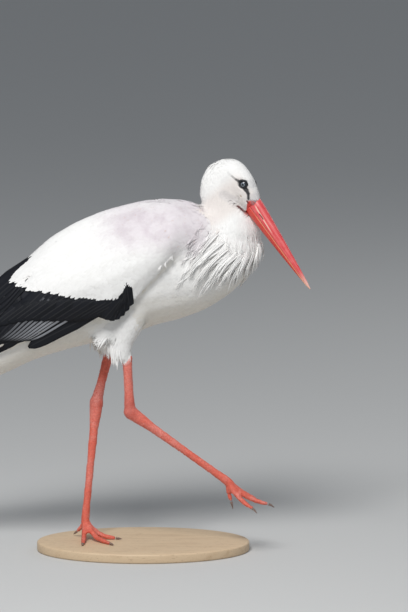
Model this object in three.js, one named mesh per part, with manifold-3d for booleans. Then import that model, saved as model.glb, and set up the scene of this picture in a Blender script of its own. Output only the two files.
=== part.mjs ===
// White stork (Ciconia ciconia), adult, life size, in mid stride: the left foot stands on a flat
// display base, the right leg swings forward, and the bill points down at the ground ahead.
// Millimetres, +Z up. The bird walks towards +X and its left side is +Y.
// The origin is the middle of the base's underside.

import * as THREE from "three";
import { mergeVertices } from "three/addons/utils/BufferGeometryUtils.js";
import Module from "manifold-3d";

const wasm = await Module();
wasm.setup();

// ---- Driving dimensions -------------------------------------------------------------------

const GAP = 0.3; // clearance between pieces that touch

const BASE_LENGTH = 360;
const BASE_WIDTH = 230;
const BASE_THICKNESS = 16;
const BASE_CHAMFER = 3;
const BASE_AHEAD_OF_BIRD = 38; // base centre, ahead of the bird's own zero

const HEAD_PITCH = 50.3; // degrees below the horizon
const HEAD_YAW = 32; // degrees to the bird's right
const BILL_BASE = [224, -28, 575]; // middle of the bill where the face feathers end
const BILL_LENGTH = 172;
const BILL_BASE_DEPTH = 34.5;
const BILL_BASE_WIDTH = 25;

const EYE_RADIUS = 6.8;
const EYE_BEHIND_BILL = 36;
const EYE_ABOVE_BILL = 15;
const EYE_OFF_CENTRE = 12.2;

const TARSUS_LENGTH = 207;
const TARSUS_DEPTH = 13.5;
const TARSUS_WIDTH = 11;
const TIBIA_DEPTH = 16;
const TOE_DEPTH = 10;
const MIDDLE_TOE = 78;
const SIDE_TOE = 64;
const HIND_TOE = 36;
const CLAW_LENGTH = 11;
const FLAT_DEPTH = 0.5; // how far a standing toe is pressed flat

// ---- Shape helpers ------------------------------------------------------------------------

const vec = (x, y, z) => new THREE.Vector3(x, y, z);
const radians = THREE.MathUtils.degToRad;
const UP = vec(0, 0, 1);
const ALONG = vec(1, 0, 0);
const LEFT = vec(0, 1, 0);

// A closed skin over rings that all have the same number of points, with flat fans at both ends.
function loft(rings) {
  const count = rings[0].length;
  const middle = (ring) =>
    ring.reduce((sum, p) => sum.add(p), vec(0, 0, 0)).divideScalar(count);
  const points = rings.flat().concat([middle(rings[0]), middle(rings.at(-1))]);
  const first = points.length - 2;
  const last = points.length - 1;
  const faces = [];
  for (let r = 0; r + 1 < rings.length; r += 1) {
    for (let i = 0; i < count; i += 1) {
      const a = r * count + i;
      const b = r * count + ((i + 1) % count);
      faces.push([a, b, a + count], [b, b + count, a + count]);
    }
  }
  const end = (rings.length - 1) * count;
  for (let i = 0; i < count; i += 1) {
    const next = (i + 1) % count;
    faces.push([first, next, i], [last, end + i, end + next]);
  }
  const volume = faces.reduce((sum, [a, b, c]) => {
    const across = points[b].clone().cross(points[c]);
    return sum + points[a].dot(across);
  }, 0);
  const outward = volume > 0 ? faces : faces.map(([a, b, c]) => [a, c, b]);
  return toSolid(points.flatMap((p) => [p.x, p.y, p.z]), outward.flat());
}

// Catmull-Rom interpolation of one measure through evenly numbered stations.
function between(values, t) {
  const i = Math.min(Math.floor(t), values.length - 2);
  const at = (k) => values[THREE.MathUtils.clamp(k, 0, values.length - 1)];
  const f = t - i;
  const [p0, p1, p2, p3] = [at(i - 1), at(i), at(i + 1), at(i + 2)];
  const curve =
    2 * p1 +
    (p2 - p0) * f +
    (2 * p0 - 5 * p1 + 4 * p2 - p3) * f * f +
    (3 * p1 - p0 - 3 * p2 + p3) * f * f * f;
  return curve / 2;
}

// A rounded body along stations [x, y, z, half height, half width]. `side` is the direction of
// the width, `across` fixes the ring planes, `square` over 2 makes the section boxier.
function body(stations, options = {}) {
  const { side = LEFT, across = null, steps = 2, around = 20, square = 2, grow = 0 } = options;
  const column = (k) => stations.map((s) => s[k]);
  const total = (stations.length - 1) * steps;
  const centre = (t) => vec(...[0, 1, 2].map((k) => between(column(k), t)));
  const rings = [];
  for (let n = 0; n <= total; n += 1) {
    const t = n / steps;
    const before = centre(Math.max(t - 0.1, 0));
    const after = centre(Math.min(t + 0.1, stations.length - 1));
    const ahead = across ?? after.sub(before).normalize();
    const upward = ahead.clone().cross(side).normalize();
    const outward = upward.clone().cross(ahead).normalize();
    const tall = between(column(3), t) + grow;
    const wide = between(column(4), t) + grow;
    const slide = n === 0 ? -grow : n === total ? grow : 0;
    const middle = centre(t).addScaledVector(ahead, slide);
    rings.push(ring(middle, outward, upward, wide, tall, around, square));
  }
  return loft(rings);
}

function ring(middle, outward, upward, wide, tall, around, square) {
  return Array.from({ length: around }, (_, i) => {
    const angle = ((i + 0.5) / around) * 2 * Math.PI;
    const [c, s] = [Math.cos(angle), Math.sin(angle)];
    const x = Math.sign(c) * Math.abs(c) ** (2 / square) * wide;
    const y = Math.sign(s) * Math.abs(s) ** (2 / square) * tall;
    return middle.clone().addScaledVector(outward, x).addScaledVector(upward, y);
  });
}

function toSolid(vertProperties, triVerts) {
  const mesh = new wasm.Mesh({
    numProp: 3,
    vertProperties: new Float32Array(vertProperties),
    triVerts: new Uint32Array(triVerts),
  });
  return new wasm.Manifold(mesh);
}

function fromGeometry(geometry) {
  geometry.deleteAttribute("normal");
  geometry.deleteAttribute("uv");
  const merged = mergeVertices(geometry, 0.001);
  return toSolid(merged.attributes.position.array, merged.index.array);
}

function cut(solid, ...tools) {
  return tools.reduce((left, tool) => left.subtract(tool), solid);
}

// A plate with its outline in the XZ plane, running from one side of the bird to the other.
function screen(outline, grow = 0) {
  const reach = 300;
  const sharpest = 0.3; // keeps a pointed corner from growing far
  const points = outline.map(([x, z]) => new THREE.Vector2(x, z));
  const grown = points.map((p, i) => {
    const before = points.at(i - 1);
    const after = points[(i + 1) % points.length];
    const a = p.clone().sub(before).normalize();
    const b = after.clone().sub(p).normalize();
    const out = new THREE.Vector2(a.y + b.y, -a.x - b.x);
    const mitre = Math.max(out.lengthSq() / 2, sharpest);
    return p.clone().addScaledVector(out, grow / mitre);
  });
  const plate = new THREE.ExtrudeGeometry(new THREE.Shape(grown), {
    depth: reach,
    bevelEnabled: false,
  });
  plate.rotateX(Math.PI / 2);
  plate.translate(0, reach / 2, 0);
  return fromGeometry(plate);
}

// ---- Trunk, neck and tail -----------------------------------------------------------------

// [x, height of the back, height of the belly, half width]
const TRUNK = [
  [-322, 276, 260, 12],
  [-285, 316, 268, 26],
  [-240, 362, 276, 36],
  [-200, 404, 285, 44],
  [-150, 452, 309, 53],
  [-95, 498, 327, 62],
  [-40, 534, 341, 70],
  [15, 560, 354, 74],
  [62, 573, 371, 75],
  [92, 583, 378, 74],
  [118, 580, 387, 73],
  [145, 568, 398, 69],
  [185, 552, 424, 58],
  [212, 542, 452, 44],
  [229, 526, 478, 28],
  [237, 512, 496, 12],
];

function trunk(grow = 0) {
  const stations = TRUNK.map(([x, back, belly, wide]) => {
    return [x, 0, (back + belly) / 2, (back - belly) / 2, wide];
  });
  return body(stations, { across: ALONG, around: 22, square: 2.05, grow });
}

// The neck is folded: it rises from the breast behind the lowered head.
// [x, y, z, half depth, half width]
const NECK = [
  [176, 0, 500, 50, 50],
  [188, 0, 535, 51, 47],
  [183, 0, 568, 39, 37],
  [176, -1, 594, 43, 31],
  [179, -3, 616, 41, 27],
  [184, -6, 634, 34, 22],
  [187, -8, 647, 18, 12],
];
const NECK_PARTING = 2; // station where the upper neck begins

function neck(from, to, grow = 0) {
  return body(NECK.slice(from, to), { around: 18, grow });
}

// The folded tail: twelve feathers in a shallow fan, closed here into one plate.
const TAIL = [
  [-150, 0, 376, 10, 24],
  [-215, 0, 339, 8, 31],
  [-290, 0, 291, 6, 36],
  [-350, 0, 251, 4, 38],
  [-378, 0, 232, 2.5, 33],
];

function tail(grow = 0) {
  return body(TAIL, { around: 16, square: 3, grow });
}

// ---- Head and bill ------------------------------------------------------------------------

const pitch = radians(HEAD_PITCH);
const yaw = radians(HEAD_YAW);
const FACING = vec(
  Math.cos(pitch) * Math.cos(yaw),
  -Math.cos(pitch) * Math.sin(yaw),
  -Math.sin(pitch),
);
const HEAD_LEFT = vec(Math.sin(yaw), Math.cos(yaw), 0);
const HEAD_UP = FACING.clone().cross(HEAD_LEFT);

// A place on the head: ahead of the bill's base, to the head's left, and above the bill's axis.
function headPlace(ahead, left, above) {
  return vec(...BILL_BASE)
    .addScaledVector(FACING, ahead)
    .addScaledVector(HEAD_LEFT, left)
    .addScaledVector(HEAD_UP, above);
}

// [behind the bill's base, crown, chin, half width]
const HEAD = [
  [-3, 14, -14, 10],
  [4, 18, -18, 15],
  [18, 22, -23, 19],
  [36, 26, -27, 22.5],
  [54, 27, -28, 24],
  [70, 25, -26, 23],
  [84, 18, -20, 18],
  [93, 8, -10, 9],
];

function head(grow = 0) {
  const stations = HEAD.map(([behind, crown, chin, wide]) => {
    const middle = headPlace(-behind, 0, (crown + chin) / 2);
    return [...middle.toArray(), (crown - chin) / 2, wide];
  });
  const options = { side: HEAD_LEFT, across: FACING.clone().negate(), around: 18, grow };
  return body(stations, options);
}

// [ahead of the bill's base, share of the depth, share of the width]
const BILL = [
  [-8, 0.96, 0.9],
  [8, 0.96, 0.92],
  [45, 0.8, 0.76],
  [90, 0.58, 0.54],
  [135, 0.33, 0.32],
  [162, 0.16, 0.16],
  [BILL_LENGTH, 0.04, 0.05],
];
const GAPE_DROP = 1.5; // the slit between the halves, below the bill's axis at its base
const GAPE_RISE = 1; // how far the slit climbs towards the tip
const BLOCK_DEPTH = 60;

function bill(grow = 0) {
  const stations = BILL.map(([ahead, deep, wide]) => {
    const middle = headPlace(ahead, 0, 0).toArray();
    return [...middle, (deep * BILL_BASE_DEPTH) / 2, (wide * BILL_BASE_WIDTH) / 2];
  });
  return body(stations, { side: HEAD_LEFT, across: FACING, around: 12, steps: 1, grow });
}

// A block around the bill on one side of the slit, from `near` the slit to `far` from it.
function gapeBlock(near, far) {
  const [back, front, reach] = [-20, BILL_LENGTH + 10, 40];
  const corners = [
    [back, near],
    [front, near + GAPE_RISE],
    [front, far],
    [back, far],
  ];
  const edge = (left) => corners.map(([ahead, above]) => headPlace(ahead, left, above));
  return loft([edge(-reach), edge(reach)]);
}

function eye(left, grow = 0) {
  const ball = new THREE.SphereGeometry(EYE_RADIUS + grow, 10, 8);
  const middle = headPlace(-EYE_BEHIND_BILL, left * EYE_OFF_CENTRE, EYE_ABOVE_BILL);
  ball.translate(...middle.toArray());
  return fromGeometry(ball);
}

// ---- Wings --------------------------------------------------------------------------------

// The folded wing as a curved shell. Each station is one upright section of its outer face:
// [x, top y, top z, middle y, middle z, bottom y, bottom z, thickness]
const WING = [
  [152, 26, 557, 47, 540, 60, 513, 5],
  [120, 50, 561, 71, 542, 73, 511, 7],
  [96, 36, 577, 84, 543, 80, 500, 9],
  [72, 14, 587, 88, 535, 83, 472, 12],
  [48, 5, 583, 88, 522, 81, 447, 14],
  [26, 3, 579, 88, 512, 79, 420, 15],
  [4, 3, 574, 88, 502, 77, 402, 15],
  [-18, 3, 568, 87, 490, 75, 384, 15],
  [-40, 3, 560, 85, 482, 74, 391, 15],
  [-75, 3, 545, 81, 465, 71, 382, 14],
  [-115, 3, 521, 74, 445, 66, 361, 13],
  [-160, 3, 480, 66, 418, 58, 345, 12],
  [-200, 3, 446, 57, 393, 50, 332, 11],
  [-260, 3, 392, 43, 352, 37, 308, 9],
  [-330, 3, 328, 29, 305, 25, 281, 7],
  [-390, 4, 275, 18, 264, 17, 253, 5],
  [-424, 7, 246, 12, 243, 12, 239, 2.5],
];
const WING_ARC = 7; // points down the outer face

function wing(left) {
  const rings = [];
  for (const [x, ty, tz, my, mz, by, bz, thick] of WING) {
    const outer = [];
    const inner = [];
    for (let i = 0; i < WING_ARC; i += 1) {
      const t = i / (WING_ARC - 1);
      const [a, b, c] = [(1 - t) ** 2, 2 * t * (1 - t), t ** 2];
      const [ky, kz] = [2 * my - (ty + by) / 2, 2 * mz - (tz + bz) / 2];
      const y = a * ty + b * ky + c * by;
      const z = a * tz + b * kz + c * bz;
      const deep = thick * (0.25 + 0.75 * Math.sin(Math.PI * t));
      const slope = Math.min(1, Math.max(0, 1 - 2 * t));
      outer.push(vec(x, left * y, z));
      inner.push(vec(x, left * Math.max(y - deep * (1 - slope), 1.2), z - deep * slope));
    }
    rings.push(outer.concat(inner.reverse()));
  }
  return loft(rings);
}

// Outline of the white coverts and shoulder feathers, seen from the side.
const WHITE_COVERTS = [
  [170, 640],
  [-127, 640],
  [-127, 506],
  [-145, 490],
  [-165, 466],
  [-183, 450],
  [-166, 442],
  [-134, 437],
  [-84, 432],
  [-41, 426],
  [-10, 425],
  [3, 435],
  [11, 449],
  [23, 417],
  [34, 395],
  [170, 395],
];
const ALULA = [
  [40, 470],
  [-8, 440],
  [-14, 420],
  [-34, 394],
  [-30, 370],
  [40, 370],
];
const WING_TIP = [
  [-248, 440],
  [-450, 440],
  [-450, 200],
  [-222, 200],
];

// ---- Legs ---------------------------------------------------------------------------------

function direction(ahead, left, up) {
  return vec(ahead, left, up).normalize();
}

function limb(stations, side = LEFT, options = {}) {
  return body(stations, { side, around: 10, steps: 1, ...options });
}

const SKIRT_SWEEP = direction(-0.78, 0, -0.62); // loose feathers behind the thigh

const at = (point, deep, wide) => [point.x, point.y, point.z, deep / 2, wide / 2];
const along = (from, toward, far) => from.clone().addScaledVector(toward, far);

const LEGS = {
  left: {
    foot: vec(-61, 14, 30), // where the toes meet the shank
    tarsus: direction(0.098, 0.068, 1),
    tibia: direction(0.26, 0.13, 1),
    thighTop: vec(24, 42, 420),
    thighWaist: vec(-22, 40, 345),
    thighEnd: vec(-26, 38, 318),
    clawDrop: 0,
  },
  right: {
    foot: vec(184, -32, 106),
    tarsus: direction(-0.81, -0.03, 0.592),
    tibia: direction(-0.05, -0.05, 1),
    thighTop: vec(22, -44, 425),
    thighWaist: vec(4, -43, 348),
    thighEnd: vec(2, -41, 316),
    clawDrop: 3,
  },
};

function ankle(leg) {
  return along(leg.foot, leg.tarsus, TARSUS_LENGTH);
}

function thigh(leg, grow = 0) {
  const stations = [
    at(along(leg.thighTop, UP, 40), 60, 40),
    at(leg.thighTop, 78, 50),
    at(leg.thighTop.clone().lerp(leg.thighWaist, 0.6), 60, 44),
    at(leg.thighWaist, 38, 32),
    at(leg.thighEnd, 30, 24),
  ];
  const skirtRoot = leg.thighTop.clone().lerp(leg.thighWaist, 0.5);
  const skirt = [
    at(skirtRoot, 44, 30),
    at(along(skirtRoot, SKIRT_SWEEP, 34), 36, 24),
    at(along(skirtRoot, SKIRT_SWEEP, 72), 14, 10),
  ];
  return limb(stations, LEFT, { around: 14, grow }).add(limb(skirt, LEFT, { around: 10, grow }));
}

function tarsus(leg, grow = 0) {
  const knob = ankle(leg);
  const stations = [
    at(along(leg.foot, leg.tarsus, -4), TARSUS_DEPTH * 0.9, TARSUS_WIDTH * 1.25),
    at(along(leg.foot, leg.tarsus, 8), TARSUS_DEPTH * 1.05, TARSUS_WIDTH * 1.25),
    at(along(leg.foot, leg.tarsus, 30), TARSUS_DEPTH * 0.92, TARSUS_WIDTH * 0.95),
    at(along(leg.foot, leg.tarsus, 100), TARSUS_DEPTH * 0.95, TARSUS_WIDTH * 0.9),
    at(along(leg.foot, leg.tarsus, 160), TARSUS_DEPTH * 1.1, TARSUS_WIDTH * 1.05),
    at(along(leg.foot, leg.tarsus, 188), TARSUS_DEPTH * 1.5, TARSUS_WIDTH * 1.5),
    at(knob, TARSUS_DEPTH * 1.75, TARSUS_WIDTH * 1.75),
    at(along(knob, leg.tarsus, 9), TARSUS_DEPTH * 1.1, TARSUS_WIDTH * 1.2),
  ];
  return limb(stations, LEFT, { grow });
}

function tibia(leg, grow = 0) {
  const knob = ankle(leg);
  const stations = [
    at(along(knob, leg.tibia, -4), TIBIA_DEPTH * 1.1, TIBIA_DEPTH * 0.9),
    at(along(knob, leg.tibia, 8), TIBIA_DEPTH * 1.15, TIBIA_DEPTH),
    at(along(knob, leg.tibia, 32), TIBIA_DEPTH * 0.92, TIBIA_DEPTH * 0.8),
    at(along(knob, leg.tibia, 70), TIBIA_DEPTH, TIBIA_DEPTH * 0.85),
    at(along(knob, leg.tibia, 110), TIBIA_DEPTH * 1.05, TIBIA_DEPTH * 0.9),
  ];
  return limb(stations, LEFT, { grow });
}

// ---- Feet ---------------------------------------------------------------------------------

// One toe: its heading seen from above, its length, and how its joints bend down along it.
// heading: degrees to the left of +X. droop: slope angle below the horizon at root and tip.
const FEET = {
  left: [
    { name: "inner", heading: -93, length: SIDE_TOE, droop: [52, 12] },
    { name: "middle", heading: -50, length: MIDDLE_TOE, droop: [46, 10] },
    { name: "outer", heading: -8, length: SIDE_TOE, droop: [52, 12] },
    { name: "hind", heading: 130, length: HIND_TOE, droop: [62, 34] },
  ],
  right: [
    { name: "inner", heading: 28, length: SIDE_TOE, droop: [40, 26] },
    { name: "middle", heading: -4, length: MIDDLE_TOE, droop: [44, 14] },
    { name: "outer", heading: -36, length: SIDE_TOE, droop: [54, 24] },
    { name: "hind", heading: 10, length: HIND_TOE, droop: [84, 74] },
  ],
};
const TOE_POINTS = 5;
const TOE_TAPER = [1, 1, 0.92, 0.86, 0.62]; // thickness at each point, as a share of the root

function toeThickness(toe, i) {
  return TOE_TAPER[i] * TOE_DEPTH * (toe.name === "hind" ? 0.85 : 1);
}

function toePath(leg, toe) {
  const heading = radians(toe.heading);
  const start = toe.name === "hind" ? 5 : 2;
  const points = [along(leg.foot, leg.tarsus, start)];
  for (let n = 1; n < TOE_POINTS; n += 1) {
    const share = (n - 1) / (TOE_POINTS - 2);
    const droop = radians(THREE.MathUtils.lerp(toe.droop[0], toe.droop[1], share));
    const step = direction(
      Math.cos(heading) * Math.cos(droop),
      Math.sin(heading) * Math.cos(droop),
      -Math.sin(droop),
    );
    const next = along(points.at(-1), step, toe.length / (TOE_POINTS - 1));
    next.z = Math.max(next.z, toeThickness(toe, n) / 2 + GAP - FLAT_DEPTH);
    points.push(next);
  }
  return points;
}

function toeSide(toe) {
  const heading = radians(toe.heading);
  return vec(-Math.sin(heading), Math.cos(heading), 0);
}

function toeSolid(leg, toe, grow = 0) {
  const stations = toePath(leg, toe).map((point, i) => {
    return at(point, toeThickness(toe, i), toeThickness(toe, i));
  });
  return limb(stations, toeSide(toe), { around: 8, grow });
}

function clawSolid(leg, toe) {
  const [before, end] = toePath(leg, toe).slice(-2);
  const ahead = end.clone().sub(before).normalize();
  const down = UP.clone().negate();
  const tip = along(along(end, ahead, CLAW_LENGTH), down, leg.clawDrop);
  const stations = [
    at(along(end, ahead, -4), 5.4, 5.4),
    at(along(end, ahead, CLAW_LENGTH * 0.4), 4, 4.4),
    at(tip, 1, 1.2),
  ];
  return limb(stations, toeSide(toe), { around: 6 });
}

// ---- Base ---------------------------------------------------------------------------------

function standBase() {
  const outline = new THREE.Shape();
  const [long, wide] = [BASE_LENGTH / 2 - BASE_CHAMFER, BASE_WIDTH / 2 - BASE_CHAMFER];
  outline.absellipse(0, 0, long, wide, 0, 2 * Math.PI);
  const plate = new THREE.ExtrudeGeometry(outline, {
    depth: BASE_THICKNESS - 2 * BASE_CHAMFER,
    bevelThickness: BASE_CHAMFER,
    bevelSize: BASE_CHAMFER,
    bevelSegments: 1,
    curveSegments: 20,
  });
  plate.translate(0, 0, BASE_CHAMFER);
  return plate;
}

// ---- Colours ------------------------------------------------------------------------------

const finish = (color, roughness, metalness = 0) =>
  new THREE.MeshStandardMaterial({ color, roughness, metalness });
const WHITE_PLUMAGE = finish(0xece8e2, 0.85);
const BLACK_PLUMAGE = finish(0x15161a, 0.6);
const RED_BILL = finish(0xd2403a, 0.4);
const RED_LEG = finish(0xd9604f, 0.6);
const HORN = finish(0x6b5f58, 0.5);
const DARK_EYE = finish(0x1a1c20, 0.1);
const BASE_WOOD = finish(0xc9b79c, 0.6);

// ---- Assembly -----------------------------------------------------------------------------

const bird = new THREE.Group();
bird.position.set(-BASE_AHEAD_OF_BIRD, 0, BASE_THICKNESS);

function place(name, solid, material) {
  const { vertProperties, triVerts } = solid.getMesh();
  const geometry = new THREE.BufferGeometry();
  geometry.setAttribute("position", new THREE.Float32BufferAttribute(vertProperties, 3));
  geometry.setIndex(Array.from(triVerts));
  const mesh = new THREE.Mesh(geometry, material);
  mesh.name = name;
  bird.add(mesh);
}

const grownTrunk = trunk(GAP);
const grownTail = tail(GAP);
const grownHead = head(GAP);
const grownLowerNeck = neck(0, NECK_PARTING + 1, GAP);
const besideNeck = grownTrunk.add(grownHead).add(bill(GAP));
const lowerNeck = cut(neck(0, NECK_PARTING + 1), besideNeck);
const upperNeck = cut(neck(NECK_PARTING, NECK.length), besideNeck, grownLowerNeck);

place("trunk", trunk(), WHITE_PLUMAGE);
place("neck_lower", lowerNeck, WHITE_PLUMAGE);
place("neck_upper", upperNeck, WHITE_PLUMAGE);
place("tail", cut(tail(), grownTrunk), WHITE_PLUMAGE);

place("head", cut(head(), eye(1, GAP), eye(-1, GAP)), WHITE_PLUMAGE);
place("eye_left", eye(1), DARK_EYE);
place("eye_right", eye(-1), DARK_EYE);
const wholeBill = cut(bill(), grownHead);
place("bill_upper", cut(wholeBill, gapeBlock(-GAPE_DROP, -BLOCK_DEPTH)), RED_BILL);
place("bill_lower", cut(wholeBill, gapeBlock(-GAPE_DROP - GAP, BLOCK_DEPTH)), RED_BILL);

for (const [sideName, left] of [["left", 1], ["right", -1]]) {
  const shell = cut(wing(left), grownTrunk, grownTail);
  const dark = cut(shell, screen(WHITE_COVERTS, GAP));
  const flight = cut(dark, screen(ALULA, GAP));
  place(`wing_${sideName}_coverts`, shell.intersect(screen(WHITE_COVERTS)), WHITE_PLUMAGE);
  place(`wing_${sideName}_alula`, dark.intersect(screen(ALULA)), BLACK_PLUMAGE);
  place(`wing_${sideName}_secondaries`, cut(flight, screen(WING_TIP, GAP)), BLACK_PLUMAGE);
  place(`wing_${sideName}_primaries`, flight.intersect(screen(WING_TIP)), BLACK_PLUMAGE);
}

const SLAB = 600; // wider than the bird, to clear everything below the standing toes
const slab = new THREE.BoxGeometry(SLAB, SLAB, SLAB).translate(0, 0, GAP - SLAB / 2);
const floor = fromGeometry(slab);
for (const [sideName, leg] of Object.entries(LEGS)) {
  place(`thigh_${sideName}`, cut(thigh(leg), grownTrunk), WHITE_PLUMAGE);
  place(`tibia_${sideName}`, cut(tibia(leg), thigh(leg, GAP), tarsus(leg, GAP)), RED_LEG);
  place(`tarsus_${sideName}`, tarsus(leg), RED_LEG);
  let taken = tarsus(leg, GAP);
  for (const toe of FEET[sideName]) {
    const solid = cut(toeSolid(leg, toe), taken, floor);
    place(`toe_${sideName}_${toe.name}`, solid, RED_LEG);
    const claw = cut(clawSolid(leg, toe), toeSolid(leg, toe, GAP), floor);
    place(`claw_${sideName}_${toe.name}`, claw, HORN);
    taken = taken.add(toeSolid(leg, toe, GAP));
  }
}

const base = new THREE.Mesh(standBase(), BASE_WOOD);
base.name = "stand_base";

const stork = new THREE.Group();
stork.add(bird, base);

export default stork;
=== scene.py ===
# A white stork in mid stride, life size, on a flat display base. Metres, +Z up. The bird walks
# towards +X with its left side at +Y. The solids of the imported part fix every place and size.

import math

import bmesh
import bpy
import numpy as np
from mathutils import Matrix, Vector
from mathutils.bvhtree import BVHTree


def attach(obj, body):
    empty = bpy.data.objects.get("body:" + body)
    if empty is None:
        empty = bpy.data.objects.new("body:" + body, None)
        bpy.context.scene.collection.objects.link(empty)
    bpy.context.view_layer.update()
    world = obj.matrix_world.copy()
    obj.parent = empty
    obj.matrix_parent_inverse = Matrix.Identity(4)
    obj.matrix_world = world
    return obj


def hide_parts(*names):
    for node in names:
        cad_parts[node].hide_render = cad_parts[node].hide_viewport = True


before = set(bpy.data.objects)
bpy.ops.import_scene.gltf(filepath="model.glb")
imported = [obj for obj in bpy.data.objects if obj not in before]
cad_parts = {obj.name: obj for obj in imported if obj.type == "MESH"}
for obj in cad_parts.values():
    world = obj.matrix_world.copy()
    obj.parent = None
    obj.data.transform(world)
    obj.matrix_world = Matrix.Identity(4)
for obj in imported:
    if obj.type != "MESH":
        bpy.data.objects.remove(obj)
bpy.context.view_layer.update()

# ---- Camera -----------------------------------------------------------------------------------
# The viewer stands a few metres off on the bird's right, a little above its back, and looks
# through a long lens, so that the bird is drawn almost without perspective.

LOOK_AT = Vector((0.103, 0.0, 0.418))
VIEW_DISTANCE = 6.5
VIEW_DOWN = math.radians(8.5)
VIEW_TALL = math.radians(9.045)  # angle from the lower edge of the view to its upper edge

camera_data = bpy.data.cameras.new("camera")
camera_data.sensor_fit = "VERTICAL"
camera_data.lens = camera_data.sensor_height / 2 / math.tan(VIEW_TALL / 2)
camera = bpy.data.objects.new("camera", camera_data)
camera.rotation_euler = (math.pi / 2 - VIEW_DOWN, 0, 0)
VIEW_LINE = Vector((0, math.cos(VIEW_DOWN), -math.sin(VIEW_DOWN)))
camera.location = LOOK_AT - VIEW_LINE * VIEW_DISTANCE
bpy.context.collection.objects.link(camera)
bpy.context.scene.camera = camera

# ---- Light and floor --------------------------------------------------------------------------
# A large soft lamp stands high on the viewer's side, as the sun does over the bird, a weak one
# lifts the far side, and a pale grey studio floor runs out to the edges of the view.

FLOOR_HALF = 30.0
FLOOR_GREY = (0.58, 0.58, 0.57, 1)
KEY_FROM = Vector((-0.24, -0.86, 1.0)).normalized()
KEY_DISTANCE = 4.0
KEY_SIZE = 1.5
KEY_POWER = 148
FILL_FROM = Vector((0.75, 0.8, 0.55)).normalized()
FILL_POWER = 14
SKY = (0.86, 0.92, 1.0, 1)
SKY_STRENGTH = 0.27


def studio_lamp(name, toward, power, size):
    data = bpy.data.lights.new(name, "AREA")
    data.energy = power
    data.size = size
    lamp = bpy.data.objects.new(name, data)
    lamp.location = LOOK_AT + toward * KEY_DISTANCE
    lamp.rotation_euler = toward.to_track_quat("Z", "Y").to_euler()
    bpy.context.collection.objects.link(lamp)


studio_lamp("key_lamp", KEY_FROM, KEY_POWER, KEY_SIZE)
studio_lamp("fill_lamp", FILL_FROM, FILL_POWER, KEY_SIZE)

world = bpy.data.worlds.new("studio")
world.use_nodes = True
world.node_tree.nodes["Background"].inputs["Color"].default_value = SKY
world.node_tree.nodes["Background"].inputs["Strength"].default_value = SKY_STRENGTH
bpy.context.scene.world = world
bpy.context.scene.view_settings.view_transform = "Standard"


def piece(name, points, faces, materials=(), smooth=True):
    """A new object at the origin, with its place in its mesh."""
    mesh = bpy.data.meshes.new(name)
    mesh.from_pydata([tuple(p) for p in points], [], [tuple(f) for f in faces])
    mesh.polygons.foreach_set("use_smooth", [smooth] * len(mesh.polygons))
    for material in materials:
        mesh.materials.append(material)
    made = bpy.data.objects.new(name, mesh)
    bpy.context.collection.objects.link(made)
    return made


floor_paint = bpy.data.materials.new("floor_paint")
floor_paint.use_nodes = True
floor_shader = floor_paint.node_tree.nodes["Principled BSDF"]
floor_shader.inputs["Base Color"].default_value = FLOOR_GREY
floor_shader.inputs["Roughness"].default_value = 0.95
floor_shader.inputs["Specular IOR Level"].default_value = 0.1
corners = [(-FLOOR_HALF, -FLOOR_HALF), (FLOOR_HALF, -FLOOR_HALF), (FLOOR_HALF, FLOOR_HALF)]
corners.append((-FLOOR_HALF, FLOOR_HALF))
floor = piece("floor", [(x, y, 0) for x, y in corners], [range(4)], [floor_paint], False)

# ---- Display base -----------------------------------------------------------------------------
# A flat oval plate of pale oak, sawn from one board and its edges rounded over, sanded and oiled.
# It carries the bird's weight through the left foot.

BASE_LONG = 0.180  # half axes
BASE_WIDE = 0.115
BASE_THICK = 0.016
BASE_ROUND = 0.003
BASE_SIDES = 144


class Wire:
    """An output of a node. Sums on wires add Math nodes, or Vector Math nodes for vectors."""

    def __init__(self, bench, socket):
        self.bench = bench
        self.socket = socket
        self.wide = socket.type in {"VECTOR", "RGBA"}

    def reckon(self, operation, *terms):
        wide = any(isinstance(t, Wire) and t.wide for t in terms)
        kind = "ShaderNodeVectorMath" if wide else "ShaderNodeMath"
        return self.bench.node(kind, {"operation": operation}, dict(enumerate(terms)))[0]

    def __add__(self, other):
        return self.reckon("ADD", self, other)

    __radd__ = __add__

    def __sub__(self, other):
        return self.reckon("SUBTRACT", self, other)

    def __rsub__(self, other):
        return self.reckon("SUBTRACT", other, self)

    def __mul__(self, other):
        if self.wide and not isinstance(other, tuple) and not getattr(other, "wide", False):
            settings = {"operation": "SCALE"}
            return self.bench.node("ShaderNodeVectorMath", settings, {0: self, "Scale": other})[0]
        return self.reckon("MULTIPLY", self, other)

    __rmul__ = __mul__

    def __truediv__(self, other):
        return self.reckon("DIVIDE", self, other)

    def __rtruediv__(self, other):
        return self.reckon("DIVIDE", other, self)

    def __pow__(self, other):
        return self.reckon("POWER", self, other)

    def __abs__(self):
        return self.reckon("ABSOLUTE", self)

    def most(self, other):
        return self.reckon("MAXIMUM", self, other)

    def sine(self):
        return self.reckon("SINE", self)

    def dot(self, other):
        return self.reckon("DOT_PRODUCT", self, other)

    def step(self, low, high):
        """0 below `low`, 1 above `high`, smooth between them."""
        settings = {"interpolation_type": "SMOOTHSTEP"}
        ends = {"Value": self, "From Min": low, "From Max": high}
        return self.bench.node("ShaderNodeMapRange", settings, ends)[0]


class Made:
    """A finished node, whose open outputs are picked by place or by name."""

    def __init__(self, bench, node):
        self.bench = bench
        self.raw = node

    def __getitem__(self, key):
        outputs = [s for s in self.raw.outputs if s.enabled]
        if isinstance(key, str):
            outputs = [s for s in outputs if s.name == key]
            key = 0
        return Wire(self.bench, outputs[key])


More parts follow.
